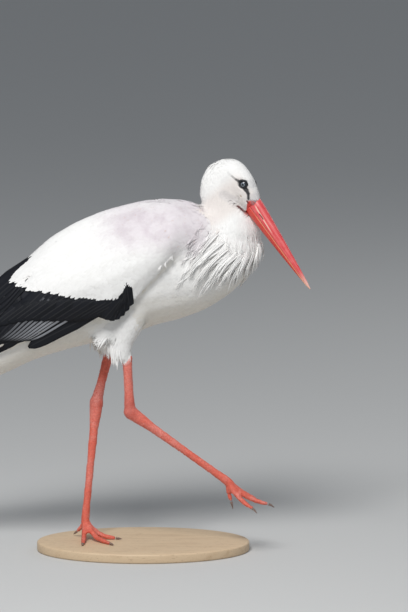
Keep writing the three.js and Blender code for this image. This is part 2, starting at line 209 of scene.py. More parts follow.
class Bench:
    """Adds nodes to one tree, for a material or for Geometry Nodes."""

    def __init__(self, tree):
        self.tree = tree

    def node(self, kind, settings=None, inputs=None):
        made = self.tree.nodes.new(kind)
        for name, value in (settings or {}).items():
            setattr(made, name, value)
        for key, value in (inputs or {}).items():
            sockets = [s for s in made.inputs if s.enabled]
            if isinstance(key, str):
                sockets = [s for s in sockets if s.name == key]
                key = 0
            if isinstance(value, Wire):
                self.tree.links.new(value.socket, sockets[key])
            else:
                sockets[key].default_value = value
        return Made(self, made)


class Finish(Bench):
    """A material on one Principled shader. Its constants are set straight on the sockets."""

    def __init__(self, name, **constants):
        self.material = bpy.data.materials.new(name)
        self.material.use_nodes = True
        super().__init__(self.material.node_tree)
        self.shader = self.tree.nodes["Principled BSDF"]
        for socket, value in constants.items():
            self.shader.inputs[socket.replace("_", " ")].default_value = value
        self.place = self.node("ShaderNodeTexCoord")["Object"]

    def feed(self, socket, wire):
        self.tree.links.new(wire.socket, self.shader.inputs[socket])

    def noise(self, scale, detail=3.0, place=None, roughness=0.5, distortion=0.0):
        inputs = {"Vector": self.place if place is None else place, "Scale": scale}
        inputs |= {"Detail": detail, "Roughness": roughness, "Distortion": distortion}
        return self.node("ShaderNodeTexNoise", {}, inputs)[0]

    def blend(self, first, second, share):
        settings = {"data_type": "RGBA"}
        return self.node("ShaderNodeMix", settings, {"Factor": share, "A": first, "B": second})[0]

    def attribute(self, name, output="Fac"):
        return self.node("ShaderNodeAttribute", {"attribute_name": name})[output]

    def done(self, colour, roughness, grain=None, depth=0.0003, strength=0.5):
        """Feeds the shader, with the grain as a bump `depth` metres deep."""
        self.feed("Base Color", colour)
        self.feed("Roughness", roughness)
        if grain is not None:
            inputs = {"Height": grain, "Distance": depth, "Strength": strength}
            self.feed("Normal", self.node("ShaderNodeBump", {}, inputs)["Normal"])
        return self.material


def oak():
    finish = Finish("oiled_oak", Specular_IOR_Level=0.4)
    along = finish.place * (2.2, 26.0, 26.0)
    drift = finish.noise(3.0, 2.0, along, distortion=0.6)
    rings = (drift * 9.0 + 0.5).sine()
    pores = finish.noise(60.0, 2.0, finish.place * (1.2, 16.0, 16.0))
    light = (0.66, 0.50, 0.33, 1)
    dark = (0.50, 0.345, 0.205, 1)
    grain = finish.blend(light, dark, rings * 0.28 + 0.3)
    wood = finish.blend(grain, (0.30, 0.19, 0.11, 1), pores.step(0.6, 0.78))
    return finish.done(wood, 0.42 + pores * 0.2, pores * -1.0 + rings * 0.1, 0.0004)


def tube(start, rings, size):
    """Faces between closed rings of `size` points each, which follow on from one another."""
    return [
        (a + i, a + (i + 1) % size, a + size + (i + 1) % size, a + size + i)
        for a in range(start, start + (rings - 1) * size, size)
        for i in range(size)
    ]


def caps(low, first, high, last, size):
    """Fans that close a tube's first and last rings from the points `low` and `high`."""
    faces = []
    for i in range(size):
        j = (i + 1) % size
        faces += [(low, first + j, first + i), (high, last + i, last + j)]
    return faces


def oval_plate():
    rounding = [math.radians(a) for a in (270, 300, 330, 360, 390, 420, 450)]
    inset = [(math.cos(a), math.sin(a)) for a in rounding]
    low = [(1, BASE_ROUND * (c - 1), BASE_ROUND * (1 + s)) for c, s in inset[:4]]
    high = [(1, BASE_ROUND * (c - 1), BASE_THICK - BASE_ROUND * (1 - s)) for c, s in inset[3:]]
    rows = [(0.45, 0, 0.0), *low, *high, (0.75, 0, BASE_THICK), (0.4, 0, BASE_THICK)]
    points = []
    for share, extra, height in rows:
        for i in range(BASE_SIDES):
            turn = 2 * math.pi * i / BASE_SIDES
            long = BASE_LONG * share + extra
            wide = BASE_WIDE * share + extra
            points.append((long * math.cos(turn), wide * math.sin(turn), height))
    faces = tube(0, len(rows), BASE_SIDES)
    middle = len(points)
    faces += caps(middle, 0, middle + 1, middle - BASE_SIDES, BASE_SIDES)
    return points + [(0, 0, 0), (0, 0, BASE_THICK)], faces


base = piece("display_base", *oval_plate(), [oak()])
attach(base, "root")
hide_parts("stand_base")

# ---- Skin -------------------------------------------------------------------------------------
# One unbroken skin over the trunk, folded neck, head, wings and legs. It lies under the plumage by
# the depth of the feathers, and comes to the surface on the bare legs and round the eyes.

BIRD_ZERO = np.array((-0.038, 0.0, 0.016))
HEAD_PITCH = math.radians(50.3)
HEAD_YAW = math.radians(32)
FACING = np.array(
    (
        math.cos(HEAD_PITCH) * math.cos(HEAD_YAW),
        -math.cos(HEAD_PITCH) * math.sin(HEAD_YAW),
        -math.sin(HEAD_PITCH),
    )
)
HEAD_LEFT = np.array((math.sin(HEAD_YAW), math.cos(HEAD_YAW), 0.0))
HEAD_UP = np.cross(FACING, HEAD_LEFT)
HEAD_AXES = np.stack((FACING, HEAD_LEFT, HEAD_UP))
FLESH = ("trunk", "neck", "head", "wing", "thigh", "tibia", "tarsus", "toe")
SKIN_CELL = 0.0033
MANTLE_LIFT = 0.0028  # fills the dip that is left where the mantle has been smoothed
CHEEK_FURROW = 0.0013
BACK_SEAM = (-415, 116)  # from the tips of the wings to the shoulders, in millimetres
BACK_SEAM_STEP = 6
CORE_STEP = 6.0
CORE_X = (-330, 150)
CORE_Z = (300, 610)
CORE_BELOW = 3.0  # how far the filling keeps below the wing's outer face
WING_OUT = 250  # how far out the rays start that feel for the wings
EYES = {"right": -1, "left": 1}
EYE_BEHIND = 36.0  # millimetres behind the bill's root, to each side, and above the bill's axis
EYE_ASIDE = 12.2
EYE_ABOVE = 15.0
EYE_BALL = 6.8
EYE_OPENING = 4.9


def on_bird(x, y, z):
    """A place in the bird's own millimetres, which start under its breast on the ground."""
    return np.array((x, y, z)) / 1000 + BIRD_ZERO


BILL_ROOT = on_bird(224, -28, 575)


def on_head(ahead, left, above):
    return BILL_ROOT + np.array((ahead, left, above)) / 1000 @ HEAD_AXES


def in_bird(co):
    """The other way round: scene places in the bird's own millimetres."""
    return (co - BIRD_ZERO) * 1000


def in_head(co, middle=BILL_ROOT):
    return (co - middle) @ HEAD_AXES.T * 1000


def from_side(tree, sign, x, z, out, past=0):
    """What a ray straight in from one side meets at a place in the bird's side view. It starts
    `out` millimetres from the middle plane and ends `past` millimetres beyond it."""
    inward, reach = Vector((0, -sign, 0)), (out + past) / 1000
    return tree.ray_cast(Vector(on_bird(x, sign * out, z)), inward, reach)


def fade(value, low, high):
    share = np.clip((value - low) / (high - low), 0, 1)
    return share * share * (3 - 2 * share)


def window(value, open_from, open_full, shut_from, shut_full):
    """1 inside a stretch of values, 0 outside it, smooth at both ends."""
    return fade(value, open_from, open_full) * (1 - fade(value, shut_from, shut_full))


def unit(rows):
    return rows / np.maximum(np.linalg.norm(rows, axis=-1, keepdims=True), 1e-9)


def joined(name, nodes):
    """One merged mesh from copies of CAD nodes."""
    work = bmesh.new()
    for node in nodes:
        work.from_mesh(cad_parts[node].data)
    bmesh.ops.remove_doubles(work, verts=work.verts, dist=1e-6)
    mesh = bpy.data.meshes.new(name)
    work.to_mesh(mesh)
    work.free()
    made = bpy.data.objects.new(name, mesh)
    bpy.context.collection.objects.link(made)
    return made


def settled(made):
    """Applies all modifiers of an object to its mesh."""
    shown = made.evaluated_get(bpy.context.evaluated_depsgraph_get())
    mesh = bpy.data.meshes.new_from_object(shown)
    made.modifiers.clear()
    made.data = mesh
    return made


def corners_of(mesh):
    co = np.empty(len(mesh.vertices) * 3)
    mesh.vertices.foreach_get("co", co)
    return co.reshape(-1, 3)


def normals_of(mesh):
    normals = np.empty(len(mesh.vertices) * 3)
    mesh.vertex_normals.foreach_get("vector", normals)
    return normals.reshape(-1, 3)


def edges_of(mesh):
    edges = np.empty(len(mesh.edges) * 2, dtype=np.int64)
    mesh.edges.foreach_get("vertices", edges)
    return edges.reshape(-1, 2)


def move_corners(mesh, co):
    mesh.vertices.foreach_set("co", co.ravel())
    mesh.update()


def neighbour_mean(values, edges):
    count = len(values)
    a, b = edges[:, 0], edges[:, 1]
    degree = np.maximum(np.bincount(a, minlength=count) + np.bincount(b, minlength=count), 1)
    flat = values.reshape(count, -1)
    total = [
        np.bincount(a, column[b], count) + np.bincount(b, column[a], count) for column in flat.T
    ]
    return (np.stack(total, axis=1) / degree[:, None]).reshape(values.shape)


def relaxed(values, edges, rounds, give=0.6):
    for _ in range(rounds):
        values = values + (neighbour_mean(values, edges) - values) * give
    return values


def rounded(co, edges, rounds, share):
    """Smooths a surface without shrinking it, by as much as `share` says at each corner."""
    for _ in range(rounds):
        for give in (0.55, -0.57):
            co = co + (neighbour_mean(co, edges) - co) * give * share[:, None]
    return co


def tree_of(mesh):
    mesh.calc_loop_triangles()
    corners = [tuple(t.vertices) for t in mesh.loop_triangles]
    return BVHTree.FromPolygons([v.co.copy() for v in mesh.vertices], corners)


def owners(points, nodes):
    """The CAD node that each point lies nearest to."""
    corners, faces, names = [], [], []
    for node in nodes:
        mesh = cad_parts[node].data
        mesh.calc_loop_triangles()
        start = len(corners)
        corners += [v.co.copy() for v in mesh.vertices]
        faces += [[start + i for i in t.vertices] for t in mesh.loop_triangles]
        names += [node] * len(mesh.loop_triangles)
    tree = BVHTree.FromPolygons(corners, faces)
    return np.array([names[tree.find_nearest(p)[2]] for p in points])


def tree_over(nodes):
    whole = joined("merged", nodes)
    tree = tree_of(whole.data)
    bpy.data.objects.remove(whole)
    return tree


def back_filler(nodes):
    """A ridge that closes the slot between the two folded wings, along the middle of the back."""
    tree = tree_over(nodes)
    rows = []
    for x in range(BACK_SEAM[0], BACK_SEAM[1], BACK_SEAM_STEP):
        tops = [tree.ray_cast(Vector(on_bird(x, y, 700)), Vector((0, 0, -1))) for y in (-7, 7)]
        if all(hit[0] is not None for hit in tops):
            rows.append((x, min(hit[0].z for hit in tops) * 1000 - BIRD_ZERO[2] * 1000))
    points = []
    for x, top in rows:
        half = min(8.0, 3.0 + 0.06 * (x - BACK_SEAM[0]))
        for y, z in ((-half, top - 12), (half, top - 12), (half, top - 0.5), (-half, top - 0.5)):
            points.append(on_bird(x, y, z))
    faces = [(3, 2, 1, 0), tuple(len(points) - 4 + i for i in range(4))]
    return piece("back_filler", points, faces + tube(0, len(rows), 4))


def body_core(nodes):
    """Columns that fill the hollow between the folded wings and the trunk beneath them."""
    wings, trunk = tree_over(nodes), tree_of(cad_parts["trunk"].data)
    xs, zs = np.arange(*CORE_X, CORE_STEP), np.arange(*CORE_Z, CORE_STEP)
    points, faces = [], []
    for sign in EYES.values():
        level = np.zeros((len(xs), len(zs)))
        for i, x in enumerate(xs):
            for j, z in enumerate(zs):
                outer, below = (from_side(t, sign, x, z, WING_OUT)[3] for t in (wings, trunk))
                if outer is not None and below is not None and outer < below:
                    level[i, j] = WING_OUT - outer * 1000
        for i in range(1, len(xs) - 1):
            for j in range(1, len(zs) - 1):
                deep = level[i - 1 : i + 2, j - 1 : j + 2].min() - CORE_BELOW
                if deep <= 0:
                    continue
                first, half = len(points), CORE_STEP / 2 + 0.4
                for y in (0, sign * deep):
                    for dx, dz in ((-half, -half), (half, -half), (half, half), (-half, half)):
                        points.append(on_bird(xs[i] + dx, y, zs[j] + dz))
                faces += [range(first, first + 4), range(first + 7, first + 3, -1)]
                faces += [(a, d, c, b) for a, b, c, d in tube(first, 2, 4)]
    return piece("body_core", points, faces)


flesh_nodes = [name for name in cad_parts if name.startswith(FLESH)]
wing_nodes = [name for name in flesh_nodes if name.startswith("wing")]
skin = joined("skin", flesh_nodes + ["eye_left", "eye_right"])
work = bmesh.new()
work.from_mesh(skin.data)
for filler in (back_filler(wing_nodes), body_core(wing_nodes)):
    work.from_mesh(filler.data)
    bpy.data.objects.remove(filler)
work.to_mesh(skin.data)
work.free()
remesh = skin.modifiers.new("one_surface", "REMESH")
remesh.mode = "VOXEL"
remesh.voxel_size = SKIN_CELL
settled(skin)


def is_part(owner, *kinds):
    return np.char.startswith(owner[:, None], np.array(kinds)[None, :]).any(axis=1)


skin_owner = owners(corners_of(skin.data), flesh_nodes)
eye_places = {side: on_head(-EYE_BEHIND, EYE_ASIDE * s, EYE_ABOVE) for side, s in EYES.items()}


def split_near(mesh, near):
    work = bmesh.new()
    work.from_mesh(mesh)
    work.verts.ensure_lookup_table()
    picked = [e for e in work.edges if near[e.verts[0].index] and near[e.verts[1].index]]
    bmesh.ops.subdivide_edges(work, edges=picked, cuts=1, use_grid_fill=True)
    work.to_mesh(mesh)
    work.free()


# All of the skin is rounded but the legs and feet, then more is taken off the steps between the
# solids: at the nape, in front of the shoulders, along the back and on the mantle.
co = corners_of(skin.data)
edges = edges_of(skin.data)
on_leg = is_part(skin_owner, "tibia", "tarsus", "toe").astype(float)
at_nape = is_part(skin_owner, "head", "neck").astype(float) * fade(co[:, 2], 0.60, 0.64)
co = rounded(co, edges, 70, relaxed(1 - on_leg * 0.9, edges, 4))
bird_place = in_bird(co)
at_nape *= 1 - fade(bird_place[:, 0], 160, 178)
co = relaxed(co, edges, 10, 0.6 * relaxed(at_nape, edges, 6)[:, None])
shoulder_edge = window(bird_place[:, 0], 84, 104, 158, 174)
shoulder_edge *= fade(bird_place[:, 2], 470, 500) * (np.abs(bird_place[:, 1]) > 15)
along_back = window(bird_place[:, 0], -140, -120, 100, 130)
along_back *= (1 - fade(np.abs(bird_place[:, 1]), 44, 60)) * (bird_place[:, 2] > 440)
mantle_step = window(bird_place[:, 0], 22, 44, 92, 116)
mantle_step *= fade(bird_place[:, 2], 545, 565) * (1 - fade(np.abs(bird_place[:, 1]), 44, 62))
for zone, rounds in ((shoulder_edge, 60), (along_back, 24), (mantle_step, 70)):
    co = relaxed(co, edges, rounds, 0.6 * relaxed(zone, edges, 4)[:, None])
lift = MANTLE_LIFT * relaxed(mantle_step, edges, 12)
co[:, 2] += lift * fade(normals_of(skin.data)[:, 2], 0, 0.4)
move_corners(skin.data, co)

# Finer cells on the legs and feet and at the bill's root, and finest round the eyes.
split_near(skin.data, on_leg > 0.5)
split_near(skin.data, np.linalg.norm(corners_of(skin.data) - on_head(-3, 0, 0), axis=1) < 0.026)
for reach in (0.016, 0.012):
    co = corners_of(skin.data)
    gap = np.min([np.linalg.norm(co - p, axis=1) for p in eye_places.values()], axis=0)
    split_near(skin.data, gap < reach)

co = corners_of(skin.data)
edges = edges_of(skin.data)
skin_owner = owners(co, flesh_nodes)
co = rounded(co, edges, 8, np.ones(len(co)))
move_corners(skin.data, co)

# How deep the skin lies under the feathers' outer surface, in millimetres.
COAT_DEPTH = {"head": 1.3, "neck": 3.5, "trunk": 5.5, "wing": 3.4, "thigh": 4.0}
COAT_SHARE = 0.28  # of a part's thickness, which is the most that its coat takes up
depth = np.zeros(len(co))
for kind, millimetres in COAT_DEPTH.items():
    depth[is_part(skin_owner, kind)] = millimetres / 1000
head_place = in_head(co)
bird_place = in_bird(co)
face = np.exp(-(((head_place[:, 0] + 8) / 16) ** 2)) * is_part(skin_owner, "head")
depth *= 1 - 0.6 * face
depth = relaxed(depth, edges, 14)
normals = normals_of(skin.data)
skin_tree = tree_of(skin.data)
thick = np.full(len(co), 0.1)  # metres from each corner straight through to the other side
for i in np.flatnonzero(depth > 1e-4):
    start = Vector(co[i] - normals[i] * 3e-4)
    found = skin_tree.ray_cast(start, Vector(-normals[i]), 0.1)
    if found[0] is not None:
        thick[i] = found[3]
thick = relaxed(thick, edges, 4)
co = co - normals * np.minimum(depth, thick * COAT_SHARE)[:, None]
co = relaxed(co, edges, 2, 0.3)

# A soft furrow parts the cheek from the folded neck.
cheek_gap = (head_place[:, [0, 2]] - (-33, -17.5)) @ np.array(((0.95, 0.32), (-0.32, 0.95))).T
furrow = np.exp(-((cheek_gap[:, 0] / 11) ** 4) - (cheek_gap[:, 1] / 3.4) ** 2)
furrow *= is_part(skin_owner, "head", "neck")
co = co - normals * (furrow * CHEEK_FURROW)[:, None]

# Lids: a thin rim of bare skin hugs each eyeball, and a shallow fold runs round it.
for side, sign in EYES.items():
    centre = eye_places[side]
    off = in_head(co, centre)
    outward = off[:, 1] * sign
    spread = np.hypot(off[:, 0] * 0.92, off[:, 2] * 1.1)
    near = (spread < 13) & (outward > 0)
    ball = np.sqrt(np.maximum(EYE_BALL**2 - np.minimum(spread, EYE_OPENING) ** 2, 0))
    rim = ball + 0.75 - 0.9 * fade(spread, 5.2, 7.6)
    lid = np.where(spread < EYE_OPENING, ball - 1.6, rim)
    share = (1 - fade(spread, 6.0, 9.5)) * near
    fold = -0.5 * np.exp(-(((spread - 8.2) / 0.9) ** 2)) * near
    target = outward + (lid - outward) * share + fold
    co = co + np.outer((target - outward) * sign * near / 1000, HEAD_LEFT)
move_corners(skin.data, co)

# Markings and painted shade, kept at each corner of the skin and handed on to each feather there.
WHITE = np.array((0.92, 0.91, 0.89))
DUSTY = np.array((0.70, 0.62, 0.67))
# Buff soiling, and painted shade on the belly where it faces down.
BELLY_BUFF_AND_SHADE = np.array((0.74, 0.69, 0.58))
# Grey of the forehead, also laid as painted shade in the fold between cheek and neck.
FACE_GREY_AND_SHADE = np.array((0.52, 0.51, 0.53))
CREAM = np.array((0.82, 0.745, 0.70))
# Painted shadow, for the dark folds under the bill's root and at the gape.
SHADOW_MAROON = np.array((0.16, 0.035, 0.035))
GAPE_RED = np.array((0.62, 0.06, 0.045))
SOOT = np.array((0.022, 0.022, 0.026))
WING_BLACK = np.array((0.016, 0.017, 0.022))
LEG_RED = np.array((0.78, 0.145, 0.09))
LEG_DUSK = np.array((0.40, 0.085, 0.07))
SPOT_BROWN = np.array((0.42, 0.30, 0.16))
# The sooty stripes from the eye to the bill and behind the eye, each length as from, to and reach,
# in millimetres ahead of the bill's root and above its axis. Behind the eye, how dark comes first.
LORE_LINES = (
    ((-31, 13.6), (-24, 13.8), 4.2),
    ((-24, 13.8), (-17.5, 12.4), 3.1),
    ((-17.5, 12.4), (-10.4, 7.2), 2.4),
)
BROW_LINES = (
    (0.9, (-42.5, 13.4), (-49, 11.5), 2.4),
    (0.5, (-49, 11.5), (-58, 8.9), 2.0),
    (0.16, (-58, 8.9), (-66, 7.3), 2.2),
)


def near_line(points, start, end, reach):
    """1 on the line between two places in the side view, 0 beyond `reach` of it."""
    start, end = np.array(start), np.array(end)
    along = end - start
    points = points[:, [0, 2]]
    share = np.clip((points - start) @ along / (along @ along), 0, 1)
    gap = np.linalg.norm(points - start - share[:, None] * along, axis=1)
    return 1 - fade(gap, reach * 0.55, reach)


def mixed(first, second, share):
    return first + (second - first) * share[:, None]


head_place = in_head(co)
bird_place = in_bird(co)
skin_owner = owners(co, flesh_nodes)
edges = edges_of(skin.data)
normals = normals_of(skin.data)
sided = head_place * np.array((1, 0, 1)) + np.abs(head_place[:, 1:2]) * np.array((0, 1, 0))
on_head_part = is_part(skin_owner, "head")
on_neck = is_part(skin_owner, "neck")
on_wing = is_part(skin_owner, "wing")
on_thigh = is_part(skin_owner, "thigh")
on_trunk = is_part(skin_owner, "trunk")
on_leg = is_part(skin_owner, "tibia", "tarsus", "toe")
BLACK_PARTS = [n for n in flesh_nodes if n.startswith("wing") and not n.endswith("coverts")]
on_flight = is_part(skin_owner, *BLACK_PARTS)

# The dusty shoulders, and the belly, buff where it faces down: part soiling, part painted shade.
shoulder = fade(bird_place[:, 2], 500, 545) * fade(bird_place[:, 0], -40, 40)
shoulder *= 1 - fade(bird_place[:, 0], 140, 172)
shoulder *= (1 - fade(bird_place[:, 2], 566, 590)) * ~on_head_part
underside_buff_and_shade = fade(-normals[:, 2], 0.05, 0.75) * on_trunk


def face_painted(tint, places):
    """Face marks and painted shade over a tint, for places given in the head's own millimetres."""
    ahead, aside, above = places[:, 0], np.abs(places[:, 1]), places[:, 2]
    near = 1 - fade(-ahead, 66, 84)
    forehead = (1 - fade(np.abs(ahead + 4), 6, 15)) * fade(above, 2, 8)
    cheek = (1 - fade(np.abs(ahead + 30), 14, 34)) * (1 - fade(above, 14, 24)) * near
    # Grey along the fold between cheek and neck is painted shade.
    crease = near_line(places, (-42, -20), (-24, -14), 9) * near
    crest = near_line(places, (-33, 23.4), (-26, 22.2), 5.0)
    spot = near_line(places, (-22.2, 0.6), (-21.4, 0.9), 1.6)
    tint = mixed(tint, CREAM, cheek * 0.75)
    grey_and_fold_shade = np.maximum.reduce([forehead * 0.42, crest * 0.34, crease * 0.3])
    tint = mixed(tint, FACE_GREY_AND_SHADE, grey_and_fold_shade)
    tint = mixed(tint, SPOT_BROWN, spot * 0.8)
    gape = fade(ahead - feather_edge(places), 0.2, 1.0) * fade(above, -17, -15) * (ahead < 9)
    tint = mixed(tint, GAPE_RED, gape)
    # Dark lines in the fold under the bill's root and at the gape's corner are painted shadow.
    chin_shadow = near_line(places, (-13, -15.6), (1, -14.4), 2.0) * fade(aside, 4, 7)
    tint = mixed(tint, SHADOW_MAROON, np.maximum(chin_shadow, near_line(places, (-9.5, 3.2), (-6, 2.2), 1.8)))
    lids = (1 - fade(round_eye(places), 7.3, 8.1)) * (aside > 6)
    lore = [near_line(places, *line) * (aside > 6) for line in LORE_LINES]
    brow = [near_line(places, *line) * share for share, *line in BROW_LINES]
    return mixed(tint, SOOT, np.maximum.reduce([lids, *lore, *brow]))


def feather_edge(places):
    """How far ahead of the bill's root the plumage reaches, at each height."""
    heights = (-15, -12, 2, 6, 8.5, 11, 14, 20)
    return np.interp(places[:, 2], heights, (0, -1, -8, -9, -7.5, -4, -2, 0))


def round_eye(places):
    """How far each place lies from the eye's middle, in the side view."""
    return np.hypot((places[:, 0] + EYE_BEHIND) * 0.88, (places[:, 2] - EYE_ABOVE) * 1.12)


eye_gap = np.where(on_head_part & (sided[:, 1] > 6), round_eye(sided), 99)
eye_skin = 1 - fade(eye_gap, 7.2, 8.0)
gape_skin = fade(head_place[:, 0] - feather_edge(head_place), 0, 0.8) * on_head_part
gape_skin *= (head_place[:, 2] > -16) & (head_place[:, 0] < 10)

tint = np.tile(WHITE, (len(co), 1))
# The belly turns buff where it faces down: part soiling, part painted shade.
tint = mixed(tint, BELLY_BUFF_AND_SHADE, underside_buff_and_shade * 0.6)
tint = mixed(tint, DUSTY, shoulder * 0.62)
plain_tint = tint
tint = np.where((on_head_part | on_neck)[:, None], face_painted(tint, head_place), tint)
tint = mixed(tint, WING_BLACK, on_flight.astype(float))
leg_tint = np.tile(LEG_RED, (len(co), 1))
for side in EYES:
    shank = corners_of(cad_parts["tarsus_" + side].data)
    heel = shank[shank[:, 2] > shank[:, 2].max() - 0.006].mean(axis=0)
    at_heel = 1 - fade(np.linalg.norm(co - heel, axis=1), 0.010, 0.030)
    leg_tint = mixed(leg_tint, LEG_DUSK, at_heel * 0.42)
tint = np.where(on_leg[:, None], leg_tint, tint)
scaly = relaxed(on_leg.astype(float), edges, 1)
bare = np.maximum.reduce([scaly, eye_skin, gape_skin])


def keep(mesh, name, values, kind="FLOAT"):
    """Stores one value, vector or colour for each corner point of a mesh."""
    field = "value" if kind == "FLOAT" else "vector" if kind == "FLOAT_VECTOR" else "color"
    if kind == "FLOAT_COLOR":
        values = np.concatenate((values, np.ones((len(values), 1))), axis=1)
    layer = mesh.attributes.new(name, kind, "POINT")
    layer.data.foreach_set(field, np.ascontiguousarray(values, dtype=np.float32).ravel())


keep(skin.data, "tint", tint, "FLOAT_COLOR")
keep(skin.data, "bare", bare)
keep(skin.data, "scaly", scaly)
keep(skin.data, "dusty", shoulder * ~on_head_part)


def mottled(finish, tint):
    """Dusty pink-grey blotches where the bird has lain on soil, over the shoulders only."""
    dusty = finish.attribute("dusty")
    blotch = finish.noise(38.0, 4.0, roughness=0.6).step(0.42, 0.68)
    dulled = finish.blend(tint, (0.56, 0.47, 0.52, 1), dusty * blotch * 0.45)
    fleck = finish.noise(190.0, 2.0).step(0.66, 0.74)
    return finish.blend(dulled, (0.62, 0.33, 0.16, 1), dusty * fleck * 0.3)


def skin_finish():
    finish = Finish("stork_skin", Specular_IOR_Level=0.35)
    bare, scaly = finish.attribute("bare"), finish.attribute("scaly")
    blush = finish.noise(90.0, 3.0)
    inputs = {"Vector": finish.place * (1.0, 1.0, 0.72), "Scale": 430.0}
    settings = {"feature": "DISTANCE_TO_EDGE"}
    plate_edge = finish.node("ShaderNodeTexVoronoi", settings, inputs)["Distance"]
    groove = 1 - plate_edge.step(0.02, 0.16)
    tint = mottled(finish, finish.attribute("tint", "Color"))
    shaded = finish.blend(tint, (0.30, 0.05, 0.04, 1), scaly * groove * 0.35)
    worn = finish.blend(shaded, (0.86, 0.42, 0.33, 1), scaly * blush.step(0.5, 0.75) * 0.4)
    roughness = 0.88 - bare * 0.38 + groove * bare * 0.2
    return finish.done(worn, roughness, groove * bare * -1.0 + blush * 0.25, 0.0005, 0.7)


skin.data.polygons.foreach_set("use_smooth", [True] * len(skin.data.polygons))
skin.data.materials.clear()
skin.data.materials.append(skin_finish())
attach(skin, "root")
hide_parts(*flesh_nodes)

# ---- Contour feathers -------------------------------------------------------------------------
# Soft white feathers that overlap like tiles, each rooted in the skin and lying towards the tail.
# They are short and fine on the face, long and loose on the breast, broad over the wings.

PATCH = 0.003  # how much of the skin's unwrap one feather takes
BORDER_REACH = 0.0115  # length of the short coverts along the black ones


def aimed(x, y, z):
    return unit(np.array((x, y, z), dtype=float))


def away_from(x, y, z):
    """Directions that fan out from one place on the bird."""
    return unit(bird_place - np.array((x, y, z)))


def everywhere(way):
    """The same direction at every corner of the skin."""
    return np.tile(way, (len(co), 1))


def along_skin(rows):
    return unit(rows - normals * (rows * normals).sum(axis=1)[:, None])


# The lie of the feathers: back over the head, down the neck, then fanning over breast and wings.
DOWN = aimed(0, 0, -1)
count = len(co)
x, y, z = bird_place.T
head_lie = mixed(everywhere(-FACING), everywhere(DOWN), fade(-head_place[:, 0], 40, 78))
breast_lie = away_from(208, 0, 592)
faces_up = (normals[:, 2] > 0.2)[:, None]
rear_lie = np.where(faces_up, aimed(-0.93, 0, -0.37), aimed(-0.95, 0, -0.30))
shoulder_front = fade(x, 50, 108) * fade(z, 450, 500)
trunk_lie = mixed(rear_lie, breast_lie, np.maximum(fade(x, 60, 150), shoulder_front))
wing_lie = away_from(230, 0, 660) * np.array((1, 0.2, 1))
skirt = fade(-x, -2, 34) * fade(-y, -1, 1)
thigh_lie = mixed(everywhere(aimed(-0.12, 0, -1)), everywhere(aimed(-0.72, 0, -0.69)), skirt)
wing_lie = mixed(wing_lie, breast_lie, shoulder_front)
wing_front = fade(x, -25, 12) * (1 - fade(z, 455, 490))
wing_lie = mixed(wing_lie, everywhere(aimed(-0.3, 0, -1)), wing_front)


def limb_run(node):
    """The way a length of leg or toe runs, away from the body."""
    points = corners_of(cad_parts[node].data)
    middle = points.mean(axis=0)
    run = np.linalg.svd(points - middle, full_matrices=False)[2][0]
    if node.startswith("toe"):
        shank = corners_of(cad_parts["tarsus_" + node.split("_")[1]].data)
        away = middle - shank[shank[:, 2].argmin()]
    else:
        away = DOWN
    return run * np.sign(run @ away)


lie = trunk_lie
for node in (n for n in flesh_nodes if n.startswith(("tibia", "tarsus", "toe"))):
    lie = np.where((skin_owner == node)[:, None], limb_run(node), lie)
for here, direction in (
    (on_head_part, head_lie),
    (on_neck, everywhere(DOWN)),
    (on_wing, wing_lie),
    (on_thigh, thigh_lie),
):
    lie = np.where(here[:, None], direction, lie)
lie = along_skin(lie)
for _ in range(6):
    lie = along_skin(relaxed(lie, edges, 4))

# Length of the feathers in metres at each place, and how far their tips stand off the skin.
reach = np.full(count, 30.0)
for here, millimetres in (
    (on_head_part, 4.2 + 6.0 * fade(-head_place[:, 0], 0, 60)),
    (on_neck, 14 + 10 * fade(-z, -600, -540)),
    (on_trunk, 30 + 14 * fade(-x, 40, 240)),
    (on_wing, 22 + 20 * fade(-x, -60, 120)),
    (on_thigh, 16 - 6 * skirt),
    (on_leg, 2.6),
):
    reach = np.where(here, millimetres, reach)
reach = relaxed(reach, edges, 10) / 1000
skin_ground = tree_of(skin.data)


def bend(reach):
    """How nearly the skin below a feather's tip faces the same way as at its root."""
    least = np.ones(count)
    for i in np.flatnonzero(~on_leg):
        for share in (0.5, 1.0):
            facing = skin_ground.find_nearest(Vector(co[i] + lie[i] * reach[i] * share))[1]
            least[i] = min(least[i], facing.dot(Vector(normals[i])))
    return least


sharp_bend = 1 - fade(bend(reach), 0.25, 0.85)
reach = relaxed(reach * (1 - 0.6 * sharp_bend), edges, 3)
# How closely a long plume keeps to the body: fully in front, hardly at all over the wing's bend.
hug = fade(x, 168, 200) * ~on_head_part
standing = np.maximum(depth, 0.0006)

plume_zone = window(z, 470, 500, 536, 556) * fade(x, 112, 140)
between_wings = (normals[:, 2] > 0.1) * (x < -120)
tip_gap = round_eye(head_place + (lie * reach[:, None] * 900) @ HEAD_AXES.T)
clear_of_eye = fade(np.minimum(eye_gap, np.where(sided[:, 1] > 6, tip_gap + 0.8, 99)), 7.2, 7.8)


def unbroken(reach):
    """Where the skin under a feather runs on without a cleft, so that it can lie smooth."""
    whole = np.ones(count)
    slack = 1.3 + 0.7 * fade(x, 76, 90) * fade(z, 468, 486)
    for i in np.flatnonzero(~on_leg):
        before = co[i]
        for share in (0.33, 0.66, 1.0):
            ground = skin_ground.find_nearest(Vector(co[i] + lie[i] * reach[i] * share))[0]
            if (ground - Vector(before)).length > reach[i] * 0.33 * slack[i] + 0.0006:
                whole[i] = 0
                break
            before = ground
    return fade(relaxed(whole, edges, 2), 0.6, 0.9)


open_skin = (1 - np.clip(bare, 0, 1)) * unbroken(reach)


def clear_of_black(reach):
    """Where a white feather of this reach does not cover the black ones with its tip."""
    met = is_part(owners(co + lie * reach, flesh_nodes), *BLACK_PARTS)
    return fade(relaxed(1.0 - met, edges, 1), 0.5, 0.9)


